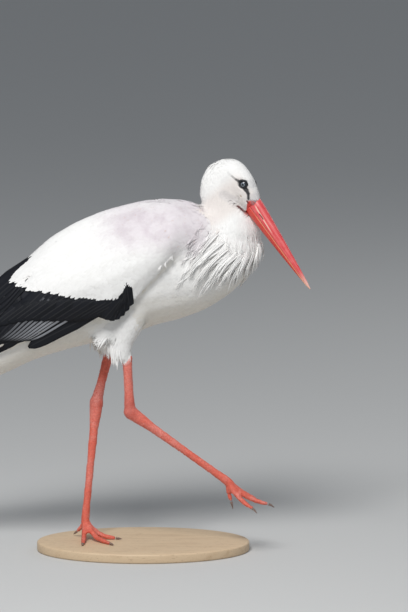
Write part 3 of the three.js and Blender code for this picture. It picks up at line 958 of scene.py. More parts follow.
room = clear_of_black(reach[:, None] * 1.12 + 0.002)
border = clear_of_black(np.full((count, 1), BORDER_REACH)) * on_wing * ~on_flight
border *= np.clip(relaxed(1 - room, edges, 8) * 6, 0, 1)
on_toe = is_part(skin_owner, "toe")
past_edge = head_place[:, 0] - feather_edge(head_place)
bill_fringe = fade(past_edge, -4, -2.5) * (past_edge < 1) * fade(head_place[:, 2], 6, 9)
bill_fringe *= on_head_part
TRACTS = {
    "tract_head_feathers": on_head_part * clear_of_eye * open_skin,
    "tract_neck_feathers": on_neck * open_skin,
    "tract_body_feathers": on_trunk * open_skin * room * ~between_wings,
    "tract_breast_plumes": (on_trunk | on_neck) * plume_zone * open_skin,
    "tract_face_fringe": bill_fringe,
    "tract_wing_coverts": (on_wing & ~on_flight) * room * open_skin,
    "tract_border_coverts": border,
    "tract_thigh_feathers": on_thigh * (1 - np.clip(bare, 0, 1)),
    "tract_leg_scutes": on_leg * (1 - (on_toe & (normals[:, 2] < -0.3))),
}
keep(skin.data, "lie", lie, "FLOAT_VECTOR")
keep(skin.data, "reach", reach)
keep(skin.data, "standing", standing)
keep(skin.data, "hug", hug)
keep(skin.data, "toward_bill", everywhere(FACING), "FLOAT_VECTOR")
for name, share in TRACTS.items():
    keep(skin.data, name, share.astype(float))

bpy.context.view_layer.objects.active = skin
skin.select_set(True)
bpy.ops.object.mode_set(mode="EDIT")
bpy.ops.mesh.select_all(action="SELECT")
bpy.ops.uv.smart_project(angle_limit=math.radians(66), island_margin=0.002)
bpy.ops.object.mode_set(mode="OBJECT")
skin.select_set(False)
skin.data.uv_layers.active.name = "skin_map"


def vane(name, outline, thick, strands=((0.0, 1.0, 1.0, 0.0),)):
    """A closed flat feather on a unit square, root at 0 and tip at 1 along X. Its outline is
    (along, width) rows. Each strand is (sideways, length, width, spread)."""
    points, faces, along, across, swell, rim = [], [], [], [], [], []
    for aside, long, wide, spread in strands:
        start = len(points)
        rows = [(t, w) for t, w in outline if 0 < t < 1]
        for t, w in rows:
            middle = aside * w + spread * t * t
            for side, height in ((-1, 0), (0, 1), (1, 0), (0, -1)):
                points.append((t * long, middle + side * w * wide / 2, 0))
                along.append(t)
                across.append(side)
                rim.append(side != 0)
                swell.append(height * thick * math.sqrt(w))
        ends = (0.0, 0.0), (long, spread)
        for (px, py), t in zip(ends, (0.0, 1.0)):
            points.append((px, py, 0))
            along.append(t)
            across.append(0)
            rim.append(True)
            swell.append(0)
        root, tip = len(points) - 2, len(points) - 1
        faces += tube(start, len(rows), 4)
        faces += caps(root, start, tip, start + (len(rows) - 1) * 4, 4)
    made = piece(name, points, faces)
    bpy.context.collection.objects.unlink(made)
    for field, values in (("along", along), ("across", across), ("swell", swell)):
        keep(made.data, field, np.array(values, dtype=float))
    crease = made.data.attributes.new("sharp_edge", "BOOLEAN", "EDGE")
    crease.data.foreach_set("value", np.array(rim)[edges_of(made.data)].all(axis=1))
    return made


LANCE = ((0, 0), (0.1, 0.6), (0.4, 1.0), (0.75, 0.8), (0.93, 0.4), (1, 0))
BROAD = ((0, 0), (0.08, 0.4), (0.35, 0.85), (0.7, 1.0), (0.9, 0.72), (0.97, 0.38), (1, 0))
SCUTE = ((0, 0), (0.12, 0.8), (0.5, 1.0), (0.85, 0.85), (1, 0))
HACKLE = ((0, 0), (0.1, 0.5), (0.3, 1.0), (0.55, 0.85), (0.78, 0.5), (0.92, 0.22), (1, 0))
# Strands of a plume that parts into a lock.
LOCK_A = ((0.0, 1.0, 0.42, 0.0), (0.3, 0.95, 0.38, -0.3), (-0.3, 0.93, 0.38, 0.32))
LOCK_A += ((0.55, 0.86, 0.34, -0.4),)
LOCK_B = ((0.1, 1.0, 0.4, -0.1), (-0.3, 0.96, 0.38, 0.32), (0.45, 0.9, 0.34, -0.38))
LOCK_B += ((-0.6, 0.84, 0.34, 0.5),)


def shelf(name, *objects):
    """A store of template feathers, outside the scene."""
    made = bpy.data.collections.new(name)
    for each in objects:
        made.objects.link(each)
    return made


fine_feathers = shelf("fine_feathers", vane("fine_a", LANCE, 0.05))
body_feathers = shelf("body_feathers", vane("body_a", BROAD, 0.025))
covert_feathers = shelf("covert_feathers", vane("covert_a", BROAD, 0.022))
scutes = shelf("scutes", vane("scute_a", SCUTE, 0.10))
lock_a, lock_b = vane("lock_a", HACKLE, 0.12, LOCK_A), vane("lock_b", HACKLE, 0.12, LOCK_B)
plume_locks = shelf("plume_locks", lock_a, lock_b)


# What each named size of the tree is where a coat doesn't say otherwise. Length is a share of the
# skin's own reach, Slimness is length over width, and Tip height is a share of the coat's depth.
FEATHER_SIZES = {"Length": 1.0, "Slimness": 3.0, "Tip height": 1.0, "Twist": 0.06, "Clump": 0.2}
FEATHER_SIZES |= {"Wave": 0.0, "Pull": 1.0, "Camber": 0.02, "Slope": 0.3, "Curl": 0.0}
FEATHER_SIZES |= {"Patch": PATCH}
CROWDING = 5.0  # roots tried for each square of the spacing, before the crowded ones are dropped
LENGTHS = (0.8, 1.15)  # shortest and longest feather, as shares of its length
DRIFT_SCALE = 42.0  # of the noise that turns neighbours the same way
WAVE_SCALE = 16.0  # of the noise that waves them


def coat_tree():
    """Roots feathers over a tract of the skin, lays them along it and gives them thickness."""
    tree = bpy.data.node_groups.new("feather_coat", "GeometryNodeTree")
    sockets = {}
    kinds = {"Skin": "Geometry", "Tract": "String", "Lie": "String", "Feathers": "Collection"}
    kinds |= {"Material": "Material", "Seed": "Int"}
    kinds |= dict.fromkeys(("Spacing", *FEATHER_SIZES), "Float")
    for name, kind in kinds.items():
        socket = tree.interface.new_socket(name, in_out="INPUT", socket_type="NodeSocket" + kind)
        sockets[name] = socket.identifier
    tree.interface.new_socket("Coat", in_out="OUTPUT", socket_type="NodeSocketGeometry")
    bench = Bench(tree)
    given = bench.node("NodeGroupInput")
    skin_in, spacing, seed = given["Skin"], given["Spacing"], given["Seed"]

    def field(name, kind="FLOAT"):
        settings = {"data_type": kind}
        return bench.node("GeometryNodeInputNamedAttribute", settings, {"Name": name})["Attribute"]

    def store(geometry, name, value, kind="FLOAT", domain="POINT"):
        settings = {"data_type": kind, "domain": domain}
        inputs = {"Geometry": geometry, "Name": name, "Value": value}
        return bench.node("GeometryNodeStoreNamedAttribute", settings, inputs)[0]

    def chance(low, high, salt, kind="FLOAT"):
        inputs = {"Min": low, "Max": high, "Seed": seed + salt}
        return bench.node("FunctionNodeRandomValue", {"data_type": kind}, inputs)[0]

    crowd = CROWDING / (spacing * spacing)
    density = {"Density Max": crowd, "Density Factor": field(given["Tract"])}
    rooted = bench.node(
        "GeometryNodeDistributePointsOnFaces",
        {"distribute_method": "POISSON"},
        {"Mesh": skin_in, "Distance Min": spacing, "Seed": seed} | density,
    )
    roots = store(rooted["Points"], "root_up", rooted["Normal"], "FLOAT_VECTOR")
    roots = store(roots, "chance", chance(0.0, 1.0, 1))
    long = field("reach") * given["Length"] * chance(*LENGTHS, 2)
    roots = store(roots, "long", long)
    spot = bench.node("GeometryNodeInputPosition")[0]
    inputs = {"Vector": spot, "Scale": DRIFT_SCALE, "Detail": 1.0}
    drift = bench.node("ShaderNodeTexNoise", {}, inputs)[0]
    turn = chance(-1.0, 1.0, 3) * given["Twist"] + (drift - 0.5) * given["Clump"]
    settings = {"primary_axis": "Z", "secondary_axis": "X"}
    inputs = {0: rooted["Normal"], 1: field(given["Lie"], "FLOAT_VECTOR")}
    axes = bench.node("FunctionNodeAxesToRotation", settings, inputs)[0]
    spin = bench.node("ShaderNodeCombineXYZ", {}, {"Z": turn})[0]
    euler = bench.node("FunctionNodeEulerToRotation", {}, {0: spin})[0]
    settings = {"rotation_space": "LOCAL"}
    laid = bench.node("FunctionNodeRotateRotation", settings, {0: axes, 1: euler})[0]
    width = long / given["Slimness"]
    size = bench.node("ShaderNodeCombineXYZ", {}, {"X": long, "Y": width, "Z": long})[0]
    inputs = {"Collection": given["Feathers"], "Separate Children": True, "Reset Children": True}
    shapes = bench.node("GeometryNodeCollectionInfo", {}, inputs)[0]
    inputs = {"Points": roots, "Instance": shapes, "Pick Instance": True}
    inputs |= {"Instance Index": chance(0, 9, 4, "INT"), "Rotation": laid, "Scale": size}
    placed = bench.node("GeometryNodeInstanceOnPoints", {}, inputs)[0]
    real = bench.node("GeometryNodeRealizeInstances", {}, {0: placed})[0]

    # Each point of a feather follows the skin below it: lifted clear, or drawn down towards it.
    place = bench.node("GeometryNodeInputPosition")[0]
    own_normal = bench.node("GeometryNodeInputNormal")[0]

    def below(value, kind="FLOAT_VECTOR"):
        inputs = {"Mesh": skin_in, "Value": value, "Sample Position": place}
        settings = {"data_type": kind}
        return bench.node("GeometryNodeSampleNearestSurface", settings, inputs)[0]

    ground = below(place)
    up = bench.node("ShaderNodeVectorMath", {"operation": "NORMALIZE"}, {0: below(own_normal)})[0]
    gap = (place - ground).dot(up)
    along, long_here = field("along"), field("long")
    stand = below(field("standing"), "FLOAT") * (along * (given["Tip height"] - 1) + 1)
    settle = 1 - (1 - along) ** 6
    climb = along * given["Slope"] * (field("chance") * 0.12 + 0.94)
    rise = stand * (settle * (1 - given["Slope"]) + climb)
    hold = given["Pull"] ** (1 - field("hug"))
    shift = (rise - gap).most(along * along * long_here * hold * -1.0)
    wide_here = long_here / given["Slimness"]
    across = field("across")
    bulge = field("swell") * wide_here - across * across * wide_here * given["Camber"]
    root_up = field("root_up", "FLOAT_VECTOR")
    side = root_up.reckon("CROSS_PRODUCT", root_up, field(given["Lie"], "FLOAT_VECTOR"))
    inputs = {"Vector": ground, "Scale": WAVE_SCALE, "Detail": 0.0}
    phase = bench.node("ShaderNodeTexNoise", {}, inputs)[0]
    wave = (along * 6.0 + phase * 14.0).sine() * along * long_here * given["Wave"]
    wave = wave + along**5 * (field("chance") - 0.35) * long_here * given["Curl"]
    inputs = {"Geometry": real, "Offset": up * (shift + bulge) + side * wave}
    moved = bench.node("GeometryNodeSetPosition", {}, inputs)[0]

    # A small patch of the skin's unwrap, at the root, for every feather.
    home = field("skin_map", "FLOAT_VECTOR")
    inputs = {"X": (along - 0.5) * given["Patch"], "Y": across * given["Patch"] * 0.5}
    patch = bench.node("ShaderNodeCombineXYZ", {}, inputs)[0]
    mapped = store(moved, "OFBake", home + patch, "FLOAT2", "CORNER")
    inputs = {"Geometry": mapped, "Material": given["Material"]}
    done = bench.node("GeometryNodeSetMaterial", {}, inputs)[0]
    bench.node("NodeGroupOutput", {}, {0: done})
    return tree, sockets


COAT_TREE, COAT_SOCKETS = coat_tree()


FULL_TURN = 6.2832


def plumage_finish(name, barbs, streaky=0.0):
    """Matt feather: its own tint, a shade of difference between feathers, fine slanting barbs."""
    finish = Finish(name, Specular_IOR_Level=0.25, Sheen_Weight=0.1)
    tint = mottled(finish, finish.attribute("tint", "Color"))
    along, across = finish.attribute("along"), finish.attribute("across")
    chance = finish.attribute("chance")
    slant = (along - abs(across) * 0.18) * barbs
    barb = (slant * FULL_TURN).sine() * 0.5 + 0.5
    shaft = 1 - abs(across).step(0.0, 0.16)
    worn = finish.blend(tint, (0.5, 0.47, 0.43, 1), chance * 0.10 + barb * 0.05)
    if streaky:
        worn = finish.blend(worn, (0.26, 0.25, 0.27, 1), chance.step(0.45, 0.8) * streaky)
    return finish.done(worn, 0.80 + chance * 0.12, barb * 0.5 + shaft)


# What the skin keeps for the coat alone.
GUIDES = ("lie", "reach", "standing", "hug", "toward_bill", *TRACTS)


def without(mesh, *fields):
    """Drops stored values that have done their work."""
    for field in fields:
        if field in mesh.attributes:
            mesh.attributes.remove(mesh.attributes[field])


def coat(name, feathers, material, seed, spacing, slot="plumage_white", lie="lie", **shape):
    """One piece of the coat, as a plain mesh grown from the skin's tract of that name."""
    sizes = FEATHER_SIZES | {k.replace("_", " ").capitalize(): v for k, v in shape.items()}
    sizes |= {"Tract": "tract_" + name, "Lie": lie, "Feathers": feathers, "Material": material}
    sizes |= {"Spacing": spacing, "Seed": seed}
    grow = skin.modifiers.new("coat", "NODES")
    grow.node_group = COAT_TREE
    for key, value in sizes.items():
        grow[COAT_SOCKETS[key]] = value
    shown = skin.evaluated_get(bpy.context.evaluated_depsgraph_get())
    mesh = bpy.data.meshes.new_from_object(shown)
    skin.modifiers.remove(grow)
    mesh.name = name
    made = bpy.data.objects.new(name, mesh)
    bpy.context.collection.objects.link(made)
    without(mesh, *GUIDES, "skin_map", "root_up", "long", "swell", "bare", "scaly", "id")
    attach(made, "root")
    return made


white_down = plumage_finish("white_down", 8.0)
white_vane = plumage_finish("white_vane", 40.0)
fringe_down = plumage_finish("fringe_down", 8.0, 0.75)


def with_face(made):
    """Carries the face marks and painted shade over a piece of the coat, finer than one feather."""
    layer = made.data.attributes["tint"].data
    colours = np.empty(len(layer) * 4, dtype=np.float32)
    layer.foreach_get("color", colours)
    colours = colours.reshape(-1, 4)
    places = in_head(corners_of(made.data))
    colours[:, :3] = face_painted(np.tile(WHITE, (len(places), 1)), places)
    layer.foreach_set("color", colours.ravel())


with_face(coat("head_feathers", fine_feathers, white_down, 11, 0.0014, slimness=3.6))
with_face(coat("neck_feathers", fine_feathers, white_down, 12, 0.0020, slimness=4.6))
coat("body_feathers", body_feathers, white_vane, 13, 0.0050, slimness=2.6, slope=0.2)
coat("wing_coverts", covert_feathers, white_vane, 14, 0.0047, slimness=2.3, slope=0.2)
shape = {"length": 0.4, "slimness": 2.6, "twist": 0.12}
coat("border_coverts", fine_feathers, white_vane, 20, 0.0028, **shape)
coat("thigh_feathers", fine_feathers, white_down, 15, 0.0026, slimness=4.5)
shape = {"length": 2.3, "slimness": 6.5, "tip_height": 1.6, "twist": 0.16, "pull": 0.10}
with_face(coat("face_fringe", fine_feathers, fringe_down, 17, 0.0011, lie="toward_bill", **shape))
shape = {"length": 1.7, "slimness": 5.2, "tip_height": 1.6, "clump": 0.8, "wave": 0.04}
shape |= {"pull": 0.3, "slope": 0.6, "curl": 0.1}
coat("breast_plumes", plume_locks, white_down, 16, 0.0090, **shape)

# ---- Hanging locks ----------------------------------------------------------------------------
# Long pointed locks of white plumes that part from the coat: the beard over the breast, small
# curls under the front edge of each wing, and the tufts that hang behind the thighs.

LOCK_ROWS = 15
LOCK_SIDES = 5
LOCK_SHAPE = ((0, 0.35), (0.12, 0.7), (0.35, 1.0), (0.6, 0.9), (0.8, 0.6), (0.93, 0.28), (1, 0.03))
STRANDS = 7
CURLS = 10  # on each side
LOCK_OUT = 240  # how far out the rays start that feel for the skin under a lock


def curve(root, bend, tip):
    """Places along a curve that leaves the root towards the bend and arrives from it."""
    t = np.linspace(0, 1, LOCK_ROWS)[:, None]
    root, bend, tip = (np.array(p, dtype=float) for p in (root, bend, tip))
    return root * (1 - t) ** 2 + bend * 2 * t * (1 - t) + tip * t * t


def laid_on_skin(sign, flat, low, high):
    """Sets a curve of the side view on the bird's flank, from `low` to `high` millimetres off."""
    rows, ups = [], []
    for x, z in flat:
        hit = from_side(skin_ground, sign, x, z, LOCK_OUT)
        if hit[0] is None:
            hit = skin_ground.find_nearest(Vector(on_bird(x, sign * 12 - 14, z)))
        rows.append(hit[0])
        ups.append(hit[1])
    rows, ups = np.array(rows), np.array(ups)
    for _ in range(3):
        ups[1:-1] = (ups[:-2] + ups[1:-1] + ups[2:]) / 3
        rows[1:-1] = (rows[:-2] + 2 * rows[1:-1] + rows[2:]) / 4
    ups = unit(ups)
    t = np.linspace(0, 1, len(rows))[:, None]
    height = low + (high - low) * t**0.8 - 4 * (1 - t) ** 8
    return rows + ups * height / 1000, ups


def facing_out(made):
    work = bmesh.new()
    work.from_mesh(made.data)
    bmesh.ops.recalc_face_normals(work, faces=work.faces)
    work.to_mesh(made.data)
    work.free()


def marked(made, fields, marks, patches):
    """Keeps a row of marks and a place on the bake's map for each point, and turns faces out."""
    for field, values in zip(fields, np.array(marks).T):
        keep(made.data, field, values)
    uv = made.data.uv_layers.new(name="OFBake")
    corner = np.array([l.vertex_index for l in made.data.loops])
    uv.data.foreach_set("uv", np.array(patches, dtype=np.float32)[corner].ravel())
    facing_out(made)


def lock_piece(name, locks, draw, fullness=0.15):
    """One mesh of locks, each (places, outward ways, width in millimetres)."""
    layer = skin.data.uv_layers["skin_map"].data
    unwrap = np.empty(len(layer) * 2)
    layer.foreach_get("uv", unwrap)
    unwrap = unwrap.reshape(-1, 2)
    triangles = skin.data.loop_triangles
    points, faces, marks, patches, tints = [], [], [], [], []
    turns = [2 * math.pi * i / LOCK_SIDES for i in range(LOCK_SIDES)]
    for spine, ups, wide in locks:
        run = unit(np.gradient(spine, axis=0))
        aside = unit(np.cross(ups, run))
        over = np.cross(run, aside)
        near = skin_ground.find_nearest(Vector(spine[0]))[2]
        home = unwrap[list(triangles[near].loops)].mean(axis=0)
        colour = plain_tint[triangles[near].vertices[0]]
        for strand in range(STRANDS):
            offset = (strand + 0.5) / STRANDS - 0.5 + draw.uniform(-0.06, 0.06)
            long, spread = draw.uniform(0.72, 1.0), offset * draw.uniform(-0.7, 0.5)
            chance, curl = draw.random(), draw.uniform(-0.6, 0.6)
            swing, raised = draw.uniform(0, 6.3), draw.uniform(-0.05, 0.08)
            start = len(points)
            for r in range(LOCK_ROWS):
                t = r / (LOCK_ROWS - 1)
                spot = t * long * (LOCK_ROWS - 1)
                low = min(int(spot), LOCK_ROWS - 2)
                middle, side, up = (
                    way[low] + (way[low + 1] - way[low]) * (spot - low)
                    for way in (spine, aside, over)
                )
                drift = offset * (1 - 0.35 * t) + spread * t * t
                drift = drift + curl * max(0, t - 0.55) ** 2 * 2
                drift += 0.07 * math.sin(5 * t + swing) * t
                middle = middle + (side * drift + up * raised * (t + 0.3)) * wide / 1000
                half = float(np.interp(t, *zip(*LOCK_SHAPE))) * wide * fullness / 1000
                for turn in turns:
                    bulk = side * math.cos(turn) + up * math.sin(turn) * 0.6
                    points.append(middle + bulk * half)
                    marks.append((t, math.cos(turn), chance))
                    tints.append(colour)
                    shift = np.array((t - 0.5, math.cos(turn) * 0.5)) * PATCH
                    patches.append(home + shift)
            faces += tube(start, LOCK_ROWS, LOCK_SIDES)
            faces.append(range(start, start + LOCK_SIDES)[::-1])
            faces.append(range(len(points) - LOCK_SIDES, len(points)))
    made = piece(name, points, faces, [white_down])
    keep(made.data, "tint", np.array(tints), "FLOAT_COLOR")
    keep(made.data, "dusty", np.zeros(len(points)))
    marked(made, ("along", "across", "chance"), marks, patches)
    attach(made, "root")


# Roots and tips of the beard in the side view, from under the wing's bend forward.
BEARD = (
    ((168, 524), (111, 472)),
    ((178, 514), (112, 459)),
    ((184, 503), (114, 438)),
    ((192, 498), (123, 427)),
    ((200, 496), (138, 434)),
    ((205, 492), (155, 436)),
    ((212, 494), (172, 434)),
    ((219, 494), (186, 443)),
    ((226, 499), (202, 450)),
    ((231, 510), (213, 456)),
)
lock_draw = np.random.default_rng(31)
beard = []
for sign in EYES.values():
    for root, tip in BEARD:
        for tier in range(2):
            jolt = lock_draw.uniform(-3, 3, 4)
            root_x, root_z = root[0] + jolt[0], root[1] + jolt[1] + 5 * tier
            tip_x, tip_z = tip[0] + jolt[2] + 17 * tier, tip[1] + jolt[3] + 19 * tier
            sag = 0.30 + lock_draw.uniform(-0.08, 0.08)
            bend = (tip_x + (root_x - tip_x) * 0.42, root_z - (root_z - tip_z) * sag)
            flat = curve((root_x, root_z), bend, (tip_x, tip_z))
            t = np.linspace(0, 1, LOCK_ROWS)
            sway = lock_draw.uniform(0.8, 2.6) * np.sin(2 * math.pi * t + 0.6) * t
            flat = flat + sway[:, None] * (0.7, -0.7)
            wide = lock_draw.uniform(9.0, 12.5) - 2.5 * tier
            beard.append((*laid_on_skin(sign, flat, 5.0 + tier, 12.0 + 2.5 * tier), wide))
lock_piece("breast_locks", beard, lock_draw)

curls = []
for sign in EYES.values():
    for _ in range(CURLS):
        share = lock_draw.random() * 0.5
        root_x, root_z = np.array((93 - 50 * share, 507 - 50 * share)) + lock_draw.uniform(-3, 3, 2)
        hit = from_side(skin_ground, sign, root_x, root_z, LOCK_OUT)[0]
        level = (hit.y * 1000) + sign * 1.5
        long = lock_draw.uniform(9, 19) * (1 - 0.35 * share)
        tip = (root_x - long * lock_draw.uniform(-0.1, 0.7), level + sign * 0.6, root_z - long)
        bend = (root_x - 0.35 * long, level + sign * 1.8, root_z - 0.5 * long)
        spine = np.array([on_bird(*p) for p in curve((root_x, level, root_z), bend, tip)])
        curls.append((spine, np.tile((0.0, sign, 0.0), (LOCK_ROWS, 1)), lock_draw.uniform(3, 6)))
lock_piece("wing_curls", curls, lock_draw, 0.2)

# Tufts of a thigh, in millimetres from its lower end: the root's place behind, above and to the
# outside of it, and the tip's place behind and below it.
TUFTS = (
    (9, 44, 5, 12, 13),
    (4, 40, 9, 6, 18),
    (13, 47, -3, 20, 2),
    (11, 50, 2, 31, -14),
    (12, 52, 8, 37, -19),
    (2, 34, 11, 2, 8),
    (-3, 30, 9, -4, 3),
    (6, 36, -8, 8, 9),
)
tufts = []
for side, sign in EYES.items():
    thigh = in_bird(corners_of(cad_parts["thigh_" + side].data))
    low = thigh[thigh[:, 2] < thigh[:, 2].min() + 6].mean(axis=0)
    for back, rise, aside, reach_back, hang in TUFTS:
        root = low + (-back, sign * aside, rise)
        tip = low + (-reach_back, sign * aside * 1.1, -hang)
        bend = (root + tip) / 2 + (-3, sign * 2, 5)
        spine = np.array([on_bird(*p) for p in curve(root, bend, tip)])
        ups = np.tile(unit(np.array((-0.3, sign, 0.1))), (LOCK_ROWS, 1))
        tufts.append((spine, ups, 10.0))
lock_piece("thigh_tufts", tufts, lock_draw, 0.24)

# ---- Leg scutes -------------------------------------------------------------------------------
# Small horny plates, red as the skin under them, that overlap down the bare legs and along the
# toes. The soles are bare.


def scute_finish():
    finish = Finish("leg_scute", Specular_IOR_Level=0.4)
    tint = finish.attribute("tint", "Color")
    chance, along = finish.attribute("chance"), finish.attribute("along")
    across = finish.attribute("across")
    cloud = finish.noise(70.0, 3.0)
    pale = finish.noise(16.0, 2.0).step(0.42, 0.66)
    rubbed = (cloud.step(0.48, 0.72) * 0.5).most(pale * 0.45)
    worn = finish.blend(tint, (0.84, 0.40, 0.35, 1), rubbed)
    shaded = finish.blend(worn, (0.36, 0.055, 0.04, 1), chance * 0.35)
    edge = along.step(0.7, 1.0) * 0.5 + abs(across).step(0.7, 1.0) * 0.25
    edged = finish.blend(shaded, (0.86, 0.48, 0.40, 1), edge * 0.45)
    return finish.done(edged, 0.42 + chance * 0.2, cloud, 0.0002, 0.4)


shape = {"slimness": 0.75, "camber": 0.10, "slope": 0.8}
coat("leg_scutes", scutes, scute_finish(), 18, 0.0019, slot="leg_skin", **shape)
without(skin.data, *GUIDES)  # the coat is grown, and the skin's own finish reads none of them

# ---- Wing quills ------------------------------------------------------------------------------
# Long black vanes of the folded wings: alula, greater coverts, secondaries with silver-grey outer
# webs, tertials and primaries. Each lies flat on the wing and slides under the one above it.

QUILL_ROWS = 18
QUILL_THICK = 0.0006
QUILL_LAYER = 0.00014
QUILL_TILT = 0.00045  # how far the lower edge of a vane is raised over the one below it
FACE_STEP = 4.0  # millimetres between the places where the wing's face is measured
FACE_X = (-444, 64)
FACE_Z = (216, 604)
FACE_PAST = 150  # how far past the middle plane the rays go on
FACE_SPREAD = 14
FACE_SMOOTH = 3
QUILL_SUNK = 0.0026  # below the outer face of the wing, as deep as the coverts start
WEBS = (-1.0, -0.62, -0.24, -0.06, 0.06, 0.3, 0.65, 1.0)  # across a vane; the shaft at the middle
LOWER_EDGE = ((-40, 391), (-75, 382), (-115, 361), (-160, 345), (-200, 332), (-260, 308))
LOWER_EDGE += ((-330, 281), (-390, 253), (-424, 240))


def edge_height(x):
    """Height of the wing's lower edge at x, in the bird's millimetres."""
    places = np.array(LOWER_EDGE[::-1], dtype=float)
    return float(np.interp(x, places[:, 0], places[:, 1]))


def quill(tip, slope, long, wide, layer, web=0.0, bow=0.0, blunt=0.75):
    """One feather in the wing's side view: its tip, its slope below the level, its sizes."""
    ahead = np.array((-math.cos(math.radians(slope)), -math.sin(math.radians(slope))))
    root = np.array(tip, dtype=float) - ahead * long
    feather = {"root": root, "ahead": ahead, "long": long, "wide": wide}
    return feather | {"layer": layer, "web": web, "bow": bow, "blunt": blunt}


def wing_quills():
    """All long feathers of one wing: those that lie deeper have the lower layer."""
    rows = []
    for k in range(7):  # primaries
        tip = (-421 + 17 * k, 243 + 10.5 * k)
        rows.append(quill(tip, 32.5 + 0.6 * k, 235 - 9 * k, 21, 1 + k, bow=3, blunt=0.55))
    for k in range(9):  # silver-webbed secondaries: each lies over the one ahead of it
        slope = math.radians(31.3 + 1.7 * k)
        place = -81 - 9.1 * k - 4.9 * min(k, 1)
        run = 84 - 2.8 * k
        line = np.array((place - run * math.cos(slope), 389 - run * math.sin(slope)))
        tip = line + 10.2 * np.array((-math.sin(slope), math.cos(slope)))
        web = min(1.0, 1.3 - 0.12 * k)
        rows.append(quill(tip, math.degrees(slope), 172, 26, 4 + k, web=web, bow=2))
    rows.append(quill((-152, 341), 27, 150, 22, 3, bow=2))  # along the lower edge below them
    for k in range(6):  # hindmost secondaries
        place = -226 - 17 * k
        tip = (place, edge_height(place) + 1 + k)
        rows.append(quill(tip, 46 - 1.5 * k, 60 + 8 * k, 30, 2 + 0.5 * k, bow=3))
    for k in range(16):  # greater coverts
        share = k / 15
        place = -38 - 202 * share
        tip = (place, 391 + 9 * max(0, 1 - share / 0.2) - 62 * max(0, share - 0.6) ** 1.2)
        rows.append(quill(tip, 31 + 8 * share, 66, 22, 15 + 0.25 * k))
    for k in range(7):  # tertials
        tip = (-238 - 13 * k, 404 - 17.5 * k)
        rows.append(quill(tip, 41 - 1.1 * k, 123 + 8.5 * k, 27, 22 - 0.6 * k, bow=-2))
    for k in range(6):  # alula, round the bend of the wing
        share = k / 5
        tip = (17 - 42 * share, 414 - 29 * math.sin(0.6 * math.pi * share) + 6 * share)
        rows.append(quill(tip, 96 - 46 * share, 50 + 8 * share, 17, 17 + 0.8 * k, blunt=0.9))
    rows.append(quill((-240, 321), 27, 110, 20, 1, blunt=0.8))  # shuts the gap below the rest
    return rows


def wing_face(sign, side):
    """How far the folded wing's outer face lies from the bird's middle plane, in its side view."""
    tree = tree_over([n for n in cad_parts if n.startswith(f"wing_{side}")])
    xs = np.arange(*FACE_X, FACE_STEP)
    zs = np.arange(*FACE_Z, FACE_STEP)
    reach = np.zeros((len(xs), len(zs)))
    known = np.zeros_like(reach)
    for i, x in enumerate(xs):
        for j, z in enumerate(zs):
            hit = from_side(tree, sign, x, z, WING_OUT, FACE_PAST)
            if hit[0] is not None:
                reach[i, j], known[i, j] = abs(hit[0].y), 1.0

    def spread(grid):
        wide = np.pad(grid, 1, mode="edge")
        return sum(wide[i : i + len(xs), j : j + len(zs)] for i in range(3) for j in range(3)) / 9

    for _ in range(FACE_SPREAD):  # carries the face on past the wing's edge
        share = spread(known)
        filled = spread(reach * known) / np.maximum(share, 1e-9)
        fresh = (known == 0) & (share > 0)
        reach = np.where(fresh, filled, reach)
        known = np.where(fresh, 1.0, known)
    for _ in range(FACE_SMOOTH):
        reach = spread(reach)

    def face(x, z):
        i = np.clip((x - xs[0]) / FACE_STEP, 0, len(xs) - 1.001)
        j = np.clip((z - zs[0]) / FACE_STEP, 0, len(zs) - 1.001)
        low_i, low_j = i.astype(int), j.astype(int)
        fi, fj = i - low_i, j - low_j
        near = reach[low_i, low_j] * (1 - fj) + reach[low_i, low_j + 1] * fj
        far = reach[low_i + 1, low_j] * (1 - fj) + reach[low_i + 1, low_j + 1] * fj
        return near * (1 - fi) + far * fi

    return face


def tip_width(t, blunt):
    """Share of a vane's width along its length: narrow at the quill, rounded at the tip."""
    grow = min(1.0, 0.35 + 1.6 * t)
    end = max(0.0, (t - blunt) / (1 - blunt))
    return grow * math.sqrt(max(0.0, 1 - end**2.2))


def sheet_faces(start, rows, cols):
    faces = []
    layer = rows * cols
    for r in range(rows - 1):
        for c in range(cols - 1):
            a = start + r * cols + c
            faces.append((a, a + 1, a + cols + 1, a + cols))
            b = a + layer
            faces.append((b, b + cols, b + cols + 1, b + 1))
    rim = [r * cols for r in range(rows)]
    rim += [(rows - 1) * cols + c for c in range(1, cols)]
    rim += [r * cols + cols - 1 for r in range(rows - 2, -1, -1)]
    rim += list(range(cols - 2, 0, -1))
    for i in range(len(rim)):
        a, b = start + rim[i], start + rim[(i + 1) % len(rim)]
        faces.append((a, b, b + layer, a + layer))
    return faces


def quill_object(name, sets):
    """Joins quills into one mesh. Each of `sets` is (middle grid, outward grid, web, chance)."""
    points, faces, marks, patches = [], [], [], []
    for number, (middle, outward, web, chance) in enumerate(sets):
        rows, cols, _ = middle.shape
        start = len(points)
        taper = np.array([1 - 0.75 * abs(s) ** 3 for s in WEBS])
        shaft = np.array([1.9 if abs(s) < 0.1 else 1.0 for s in WEBS])
        half = QUILL_THICK / 2 * (taper * shaft)[None, :, None]
        top, under = middle + outward * half, middle - outward * half
        points += list(top.reshape(-1, 3)) + list(under.reshape(-1, 3))
        faces += sheet_faces(start, rows, cols)
        for _ in range(2):
            for r in range(rows):
                for c in range(cols):
                    marks.append((r / (rows - 1), WEBS[c], web, chance))
                    u = (number + 0.5 + WEBS[c] * 0.42) / len(sets)
                    patches.append((u, 0.02 + 0.96 * r / (rows - 1)))
    made = piece(name, points, faces)
    marked(made, ("along", "across", "web", "chance"), marks, patches)
    return made


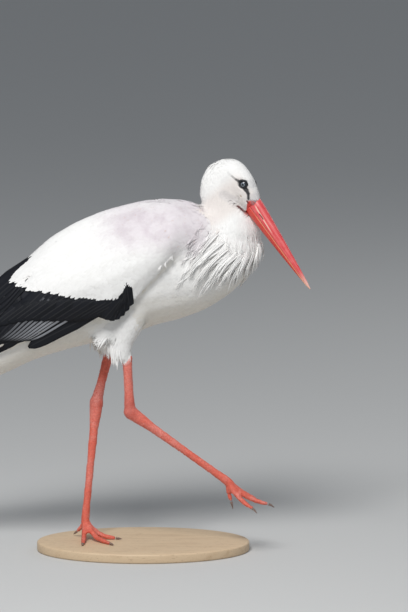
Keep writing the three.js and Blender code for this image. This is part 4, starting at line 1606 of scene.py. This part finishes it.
def quill_finish():
    finish = Finish("black_quill", Specular_IOR_Level=0.22)
    along, across = finish.attribute("along"), finish.attribute("across")
    chance, web = finish.attribute("chance"), finish.attribute("web")
    barb = ((along * 9.0 - abs(across)) * 55.0).sine() * 0.5 + 0.5
    cloudy = finish.noise(70.0, 3.0)
    outer = across.step(0.60, 0.67) * (1 - across.step(0.87, 0.93))
    silver = outer * web * along.step(0.25, 0.4) * (1 - along.step(0.86, 0.99))
    silver = silver * (0.75 + cloudy * 0.4)
    black = finish.blend((0.003, 0.004, 0.006, 1), (0.007, 0.008, 0.012, 1), chance)
    tinted = finish.blend(black, (0.014, 0.015, 0.02, 1), barb * 0.35)
    shaft = 1 - abs(across).step(0.03, 0.12)
    lined = finish.blend(tinted, (0.028, 0.028, 0.03, 1), shaft * 0.6)
    edged = finish.blend(lined, (0.36, 0.37, 0.40, 1), silver)
    return finish.done(edged, 0.5 + barb * 0.1 + silver * 0.2, barb * 0.4 + shaft)


draw = np.random.default_rng(5)
black_quill = quill_finish()
for side, sign in EYES.items():
    face = wing_face(sign, side)
    sets = []
    for feather in wing_quills():
        across_way = np.array((feather["ahead"][1], -feather["ahead"][0]))
        grid = np.zeros((QUILL_ROWS, len(WEBS), 2))
        for r in range(QUILL_ROWS):
            t = r / (QUILL_ROWS - 1)
            middle = feather["root"] + feather["ahead"] * feather["long"] * t
            middle = middle + across_way * feather["bow"] * math.sin(math.pi * t)
            half = feather["wide"] / 2 * tip_width(t * 0.995, feather["blunt"])
            for c, s in enumerate(WEBS):
                grid[r, c] = middle - across_way * half * s
        aside = face(grid[..., 0], grid[..., 1])
        t = np.linspace(0, 1, QUILL_ROWS)[:, None]
        lift = QUILL_LAYER * (1 + feather["layer"] * np.minimum(1, 0.2 + 2.4 * t)) + 0.0002 * t
        lift = lift - np.minimum(QUILL_SUNK, aside * 0.1)
        camber = QUILL_LAYER * (1 - np.array(WEBS)[None, :] ** 2)
        y = sign * (aside + lift + camber + QUILL_TILT * np.array(WEBS)[None, :])
        x = grid[..., 0] / 1000 + BIRD_ZERO[0]
        z = grid[..., 1] / 1000 + BIRD_ZERO[2]
        middle = np.stack((x, y, z), axis=-1)
        outward = np.zeros_like(middle)
        outward[..., 1] = sign
        sets.append((middle, outward, feather["web"], draw.random()))
    quills = quill_object(f"quills_{side}", sets)
    quills.data.materials.append(black_quill)
    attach(quills, "root")

# ---- Tail -------------------------------------------------------------------------------------
# Twelve white tail feathers, closed into a narrow fan behind the folded wings, the middle pair on
# top of the rest.

TAIL_ROOT = (-165, 0, 366)
TAIL_TIP = (-377, 0, 233)
TAIL_FEATHERS = 12
TAIL_WIDE = 26.0
TAIL_SPREAD = 22.0  # how far to each side the outermost tip lies


def tail_finish():
    finish = Finish("white_quill", Specular_IOR_Level=0.25)
    along, across = finish.attribute("along"), finish.attribute("across")
    barb = ((along * 9.0 - abs(across)) * 50.0).sine() * 0.5 + 0.5
    shaft = 1 - abs(across).step(0.03, 0.14)
    white = finish.blend((0.88, 0.87, 0.85, 1), (0.76, 0.74, 0.70, 1), barb * 0.25)
    worn = finish.blend(white, (0.66, 0.62, 0.55, 1), along.step(0.75, 1.0) * 0.35)
    lined = finish.blend(worn, (0.70, 0.66, 0.60, 1), shaft * 0.5)
    return finish.done(lined, 0.72 + barb * 0.12, barb * 0.4 + shaft)


tail_sets = []
tail_start, tail_end = on_bird(*TAIL_ROOT), on_bird(*TAIL_TIP)
tail_up = unit(np.cross(tail_start - tail_end, (0, 1, 0)))
tail_up = tail_up * np.sign(tail_up[2])
for k in range(TAIL_FEATHERS):
    turn = (k + 0.5) / TAIL_FEATHERS * 2 - 1
    middle = np.zeros((QUILL_ROWS, len(WEBS), 3))
    for r in range(QUILL_ROWS):
        t = r / (QUILL_ROWS - 1)
        spine = tail_start + (tail_end - tail_start) * t * (1 - 0.05 * abs(turn))
        half = TAIL_WIDE / 2 * tip_width(t * 0.995, 0.8)
        for c, s in enumerate(WEBS):
            aside = (TAIL_SPREAD * turn * (0.35 + 0.65 * t) + half * s) / 1000
            height = 0.0028 * (1 - abs(turn)) - 0.0012 + 0.0005 * (1 - s * s)
            middle[r, c] = spine + np.array((0, aside, 0)) + tail_up * height
    outward = np.tile(tail_up, (QUILL_ROWS, len(WEBS), 1))
    tail_sets.append((middle, outward, 0.0, draw.random()))
tail = quill_object("tail_feathers", tail_sets)
tail.data.materials.append(tail_finish())
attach(tail, "root")
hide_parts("tail")

# ---- Bill -------------------------------------------------------------------------------------
# Two halves of horn over bone, red and faintly glossy, straight and tapering to a point. The upper
# half has a slit of a nostril near its root, and the pair close on a fine pale cutting edge.

BILL_LONG = 172.0
BILL_DEEP = 34.5
BILL_WIDE = 25.0
BILL_STATIONS = (-8, 8, 45, 90, 135, 162, 172)
BILL_DEPTHS = (0.96, 0.96, 0.8, 0.58, 0.33, 0.16, 0.04)
BILL_WIDTHS = (0.9, 0.92, 0.76, 0.54, 0.32, 0.16, 0.05)
GAPE_DROP = 1.5
GAPE_RISE = 1.0
BILL_RINGS = 90
BILL_ARC = 30
NOSTRIL = (19.0, 31.0, 5.2)  # from, to, and above the bill's axis


def bill_half(name, upper):
    way = 1 if upper else -1
    rings = []
    for r in range(BILL_RINGS + 1):
        share = r / BILL_RINGS
        ahead = -8 + (BILL_LONG + 7.5) * (1 - (1 - share) ** 1.25)
        deep = np.interp(ahead, BILL_STATIONS, BILL_DEPTHS) * BILL_DEEP / 2
        wide = np.interp(ahead, BILL_STATIONS, BILL_WIDTHS) * BILL_WIDE / 2
        slit = -GAPE_DROP + GAPE_RISE * (ahead + 20) / (BILL_LONG + 30)
        slit = slit * min(1, deep / 3.0) + way * 0.12
        ring = []
        for i in range(BILL_ARC + 1):
            turn = math.pi * i / BILL_ARC
            left = wide * math.cos(turn)
            level = math.sin(turn)
            rise = slit + (way * deep * (1 if upper else 0.985) - slit) * level ** 0.92
            near_edge = 1 - min(1.0, level / 0.16)
            left *= 1 - 0.07 * near_edge**2  # the cutting edges roll inwards
            groove = math.exp(-(((level - 0.42) / 0.13) ** 2)) * min(1, deep / 9)
            left *= 1 - 0.045 * groove * (1 if upper else 0.4)
            if upper and NOSTRIL[0] - 4 < ahead < NOSTRIL[1] + 4:
                middle = (NOSTRIL[0] + NOSTRIL[1]) / 2
                run = (ahead - middle) / (NOSTRIL[1] - NOSTRIL[0]) * 2
                across = (rise - NOSTRIL[2]) / 1.3
                pit = math.exp(-(run**4) - across**2)
                left -= math.copysign(1.5 * pit, left)
            ring.append(on_head(ahead, left, rise))
        floor_row = [
            on_head(ahead, wide * 0.86 * math.cos(math.pi * i / 6), slit + way * 0.1)
            for i in range(5, 0, -1)
        ]
        rings.append(ring + floor_row)
    size = len(rings[0])
    points = [p for ring in rings for p in ring]
    faces = tube(0, len(rings), size)
    for ring, at in ((rings[0], 0), (rings[-1], BILL_RINGS * size)):
        points.append(np.mean(ring, axis=0))
        faces += [(len(points) - 1, at + i, at + (i + 1) % size) for i in range(size)]
    made = piece(name, points, faces)
    facing_out(made)
    return made


def bill_finish(name, upper, flesh, deep, stripe):
    finish = Finish(name, Specular_IOR_Level=0.5, Coat_Weight=0.25, Coat_Roughness=0.25)
    from_root = finish.place - tuple(BILL_ROOT)
    ahead = from_root.dot(tuple(FACING)) * 1000.0
    above = from_root.dot(tuple(HEAD_UP)) * 1000.0
    streaked = finish.node("ShaderNodeCombineXYZ", {}, {0: ahead * 0.012, 1: above * 0.3})[0]
    streak = finish.noise(3.0, 4.0, streaked)
    cloud = finish.noise(60.0, 3.0)
    base_tone = finish.blend(flesh, deep, streak.step(0.35, 0.7) * 0.7)
    line = finish.node("ShaderNodeCombineXYZ", {}, {0: ahead * 0.006, 1: above * 0.55})[0]
    worn_line = finish.noise(2.4, 3.0, line).step(0.56, 0.68)
    lit = finish.blend(base_tone, stripe, (cloud.step(0.5, 0.72) * 0.25).most(worn_line * 0.7))
    # A pale streak along the upper mandible is a painted highlight.
    painted_highlight = 1 - abs(above - 7.6 + ahead * 0.075 + (worn_line - 0.5) * 0.8).step(0.5, 1.5)
    painted_highlight = painted_highlight * ahead.step(1.0, 8.0) * (1 - ahead.step(38.0, 75.0)) * streak.step(0.3, 0.5)
    lit = finish.blend(lit, (0.92, 0.62, 0.50, 1), painted_highlight * (0.75 if upper else 0.0))
    tip = ahead.step(132.0, 168.0)
    paled = finish.blend(lit, (0.80, 0.50, 0.42, 1), tip * 0.85)
    edge = 1 - abs(above + 1.3 - ahead * 0.004).step(0.25, 0.95)
    lined = finish.blend(paled, (0.86, 0.55, 0.26, 1), edge * ahead.step(8.0, 24.0) * 0.55)
    # The nostril slit is painted dark: painted shade inside the opening.
    nostril = 1 - abs(above - NOSTRIL[2]).step(0.5, 1.0)
    nostril = nostril * ahead.step(NOSTRIL[0] - 1, NOSTRIL[0] + 1)
    nostril = nostril * (1 - ahead.step(NOSTRIL[1] - 1, NOSTRIL[1] + 1))
    nostril_shaded = finish.blend(lined, (0.10, 0.01, 0.01, 1), nostril)
    roughness = 0.30 + streak * 0.22 + tip * 0.1
    return finish.done(nostril_shaded, roughness, streak * 0.7 + cloud * 0.3, 0.0004, 0.35)


for half, upper, tones in (
    ("bill_upper", True, ((0.68, 0.08, 0.085, 1), (0.56, 0.035, 0.04, 1), (0.84, 0.30, 0.27, 1))),
    ("bill_lower", False, ((0.62, 0.05, 0.03, 1), (0.48, 0.022, 0.018, 1), (0.76, 0.17, 0.10, 1))),
):
    horn = bill_half(half + "_horn", upper)
    horn.data.materials.append(bill_finish(half + "_red", upper, *tones))
    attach(horn, "root")
    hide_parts(half)

# ---- Eyes -------------------------------------------------------------------------------------
# Glossy balls set deep behind the lids: a black pupil in a grey-blue iris that darkens to its rim.

EYE_RINGS = 40
EYE_TURNS = 56
PUPIL = 1.9
IRIS = 4.1


def eye_ball(name, centre, outward):
    side_way = unit(np.cross(outward, HEAD_UP))
    up_way = np.cross(side_way, outward)
    points = []
    for r in range(1, EYE_RINGS):
        lean = math.pi * r / EYE_RINGS
        bulge = 1 + 0.05 * math.exp(-((lean / 0.5) ** 2))
        for i in range(EYE_TURNS):
            turn = 2 * math.pi * i / EYE_TURNS
            around = side_way * math.cos(turn) + up_way * math.sin(turn)
            spot = outward * math.cos(lean) * bulge + around * math.sin(lean)
            points.append(centre + spot * EYE_BALL / 1000)
    front = len(points)
    points += [centre + outward * EYE_BALL * 1.05 / 1000, centre - outward * EYE_BALL / 1000]
    faces = tube(0, EYE_RINGS - 1, EYE_TURNS)
    faces += caps(front, 0, front + 1, front - EYE_TURNS, EYE_TURNS)
    made = piece(name, points, faces)
    facing_out(made)
    return made


def eye_finish(name, centre, outward):
    finish = Finish(name, Specular_IOR_Level=0.5, Coat_Weight=0.5, Coat_Roughness=0.03)
    off = (finish.place - tuple(centre)) * 1000.0
    inputs = {0: tuple(outward), "Scale": off.dot(tuple(outward))}
    flat = off - finish.node("ShaderNodeVectorMath", {"operation": "SCALE"}, inputs)[0]
    spread = finish.node("ShaderNodeVectorMath", {"operation": "LENGTH"}, {0: flat})[0]
    rays = finish.noise(1.6, 4.0, flat, 0.7)
    iris = finish.blend((0.07, 0.085, 0.105, 1), (0.24, 0.28, 0.33, 1), rays.step(0.35, 0.65))
    rimmed = finish.blend(iris, (0.012, 0.012, 0.014, 1), spread.step(IRIS - 0.9, IRIS))
    pupil = 1 - spread.step(PUPIL - 0.25, PUPIL + 0.1)
    return finish.done(finish.blend(rimmed, (0.003, 0.003, 0.004, 1), pupil), 0.12 + rays * 0.08)


for side, sign in EYES.items():
    outward = unit(HEAD_LEFT * sign + FACING * 0.22 + HEAD_UP * 0.05)
    ball = eye_ball("eyeball_" + side, eye_places[side], outward)
    ball.data.materials.append(eye_finish("eye_" + side, eye_places[side], outward))
    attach(ball, "root")
    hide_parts("eye_" + side)

# ---- Claws ------------------------------------------------------------------------------------
# Short blunt claws of grey-brown horn, worn smooth at the tips.

CLAW_CELL = 0.0006


def claw_finish():
    finish = Finish("claw_horn", Specular_IOR_Level=0.5)
    grain = finish.noise(420.0, 3.0, finish.place * (1.0, 1.0, 2.5))
    horn = finish.blend((0.13, 0.085, 0.07, 1), (0.30, 0.20, 0.16, 1), grain.step(0.35, 0.7))
    return finish.done(horn, 0.38 + grain * 0.2, grain, 0.0002, 0.6)


claw_horn = claw_finish()
for node in sorted(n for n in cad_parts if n.startswith("claw")):
    claw = joined(node + "_horn", [node])
    shape = claw.modifiers.new("even", "REMESH")
    shape.mode = "VOXEL"
    shape.voxel_size = CLAW_CELL
    settled(claw)
    claw_edges = edges_of(claw.data)
    claw_co = corners_of(claw.data)
    move_corners(claw.data, rounded(claw_co, claw_edges, 14, np.ones(len(claw_co))))
    claw.data.polygons.foreach_set("use_smooth", [True] * len(claw.data.polygons))
    claw.data.materials.clear()
    claw.data.materials.append(claw_horn)
    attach(claw, "root")
    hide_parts(node)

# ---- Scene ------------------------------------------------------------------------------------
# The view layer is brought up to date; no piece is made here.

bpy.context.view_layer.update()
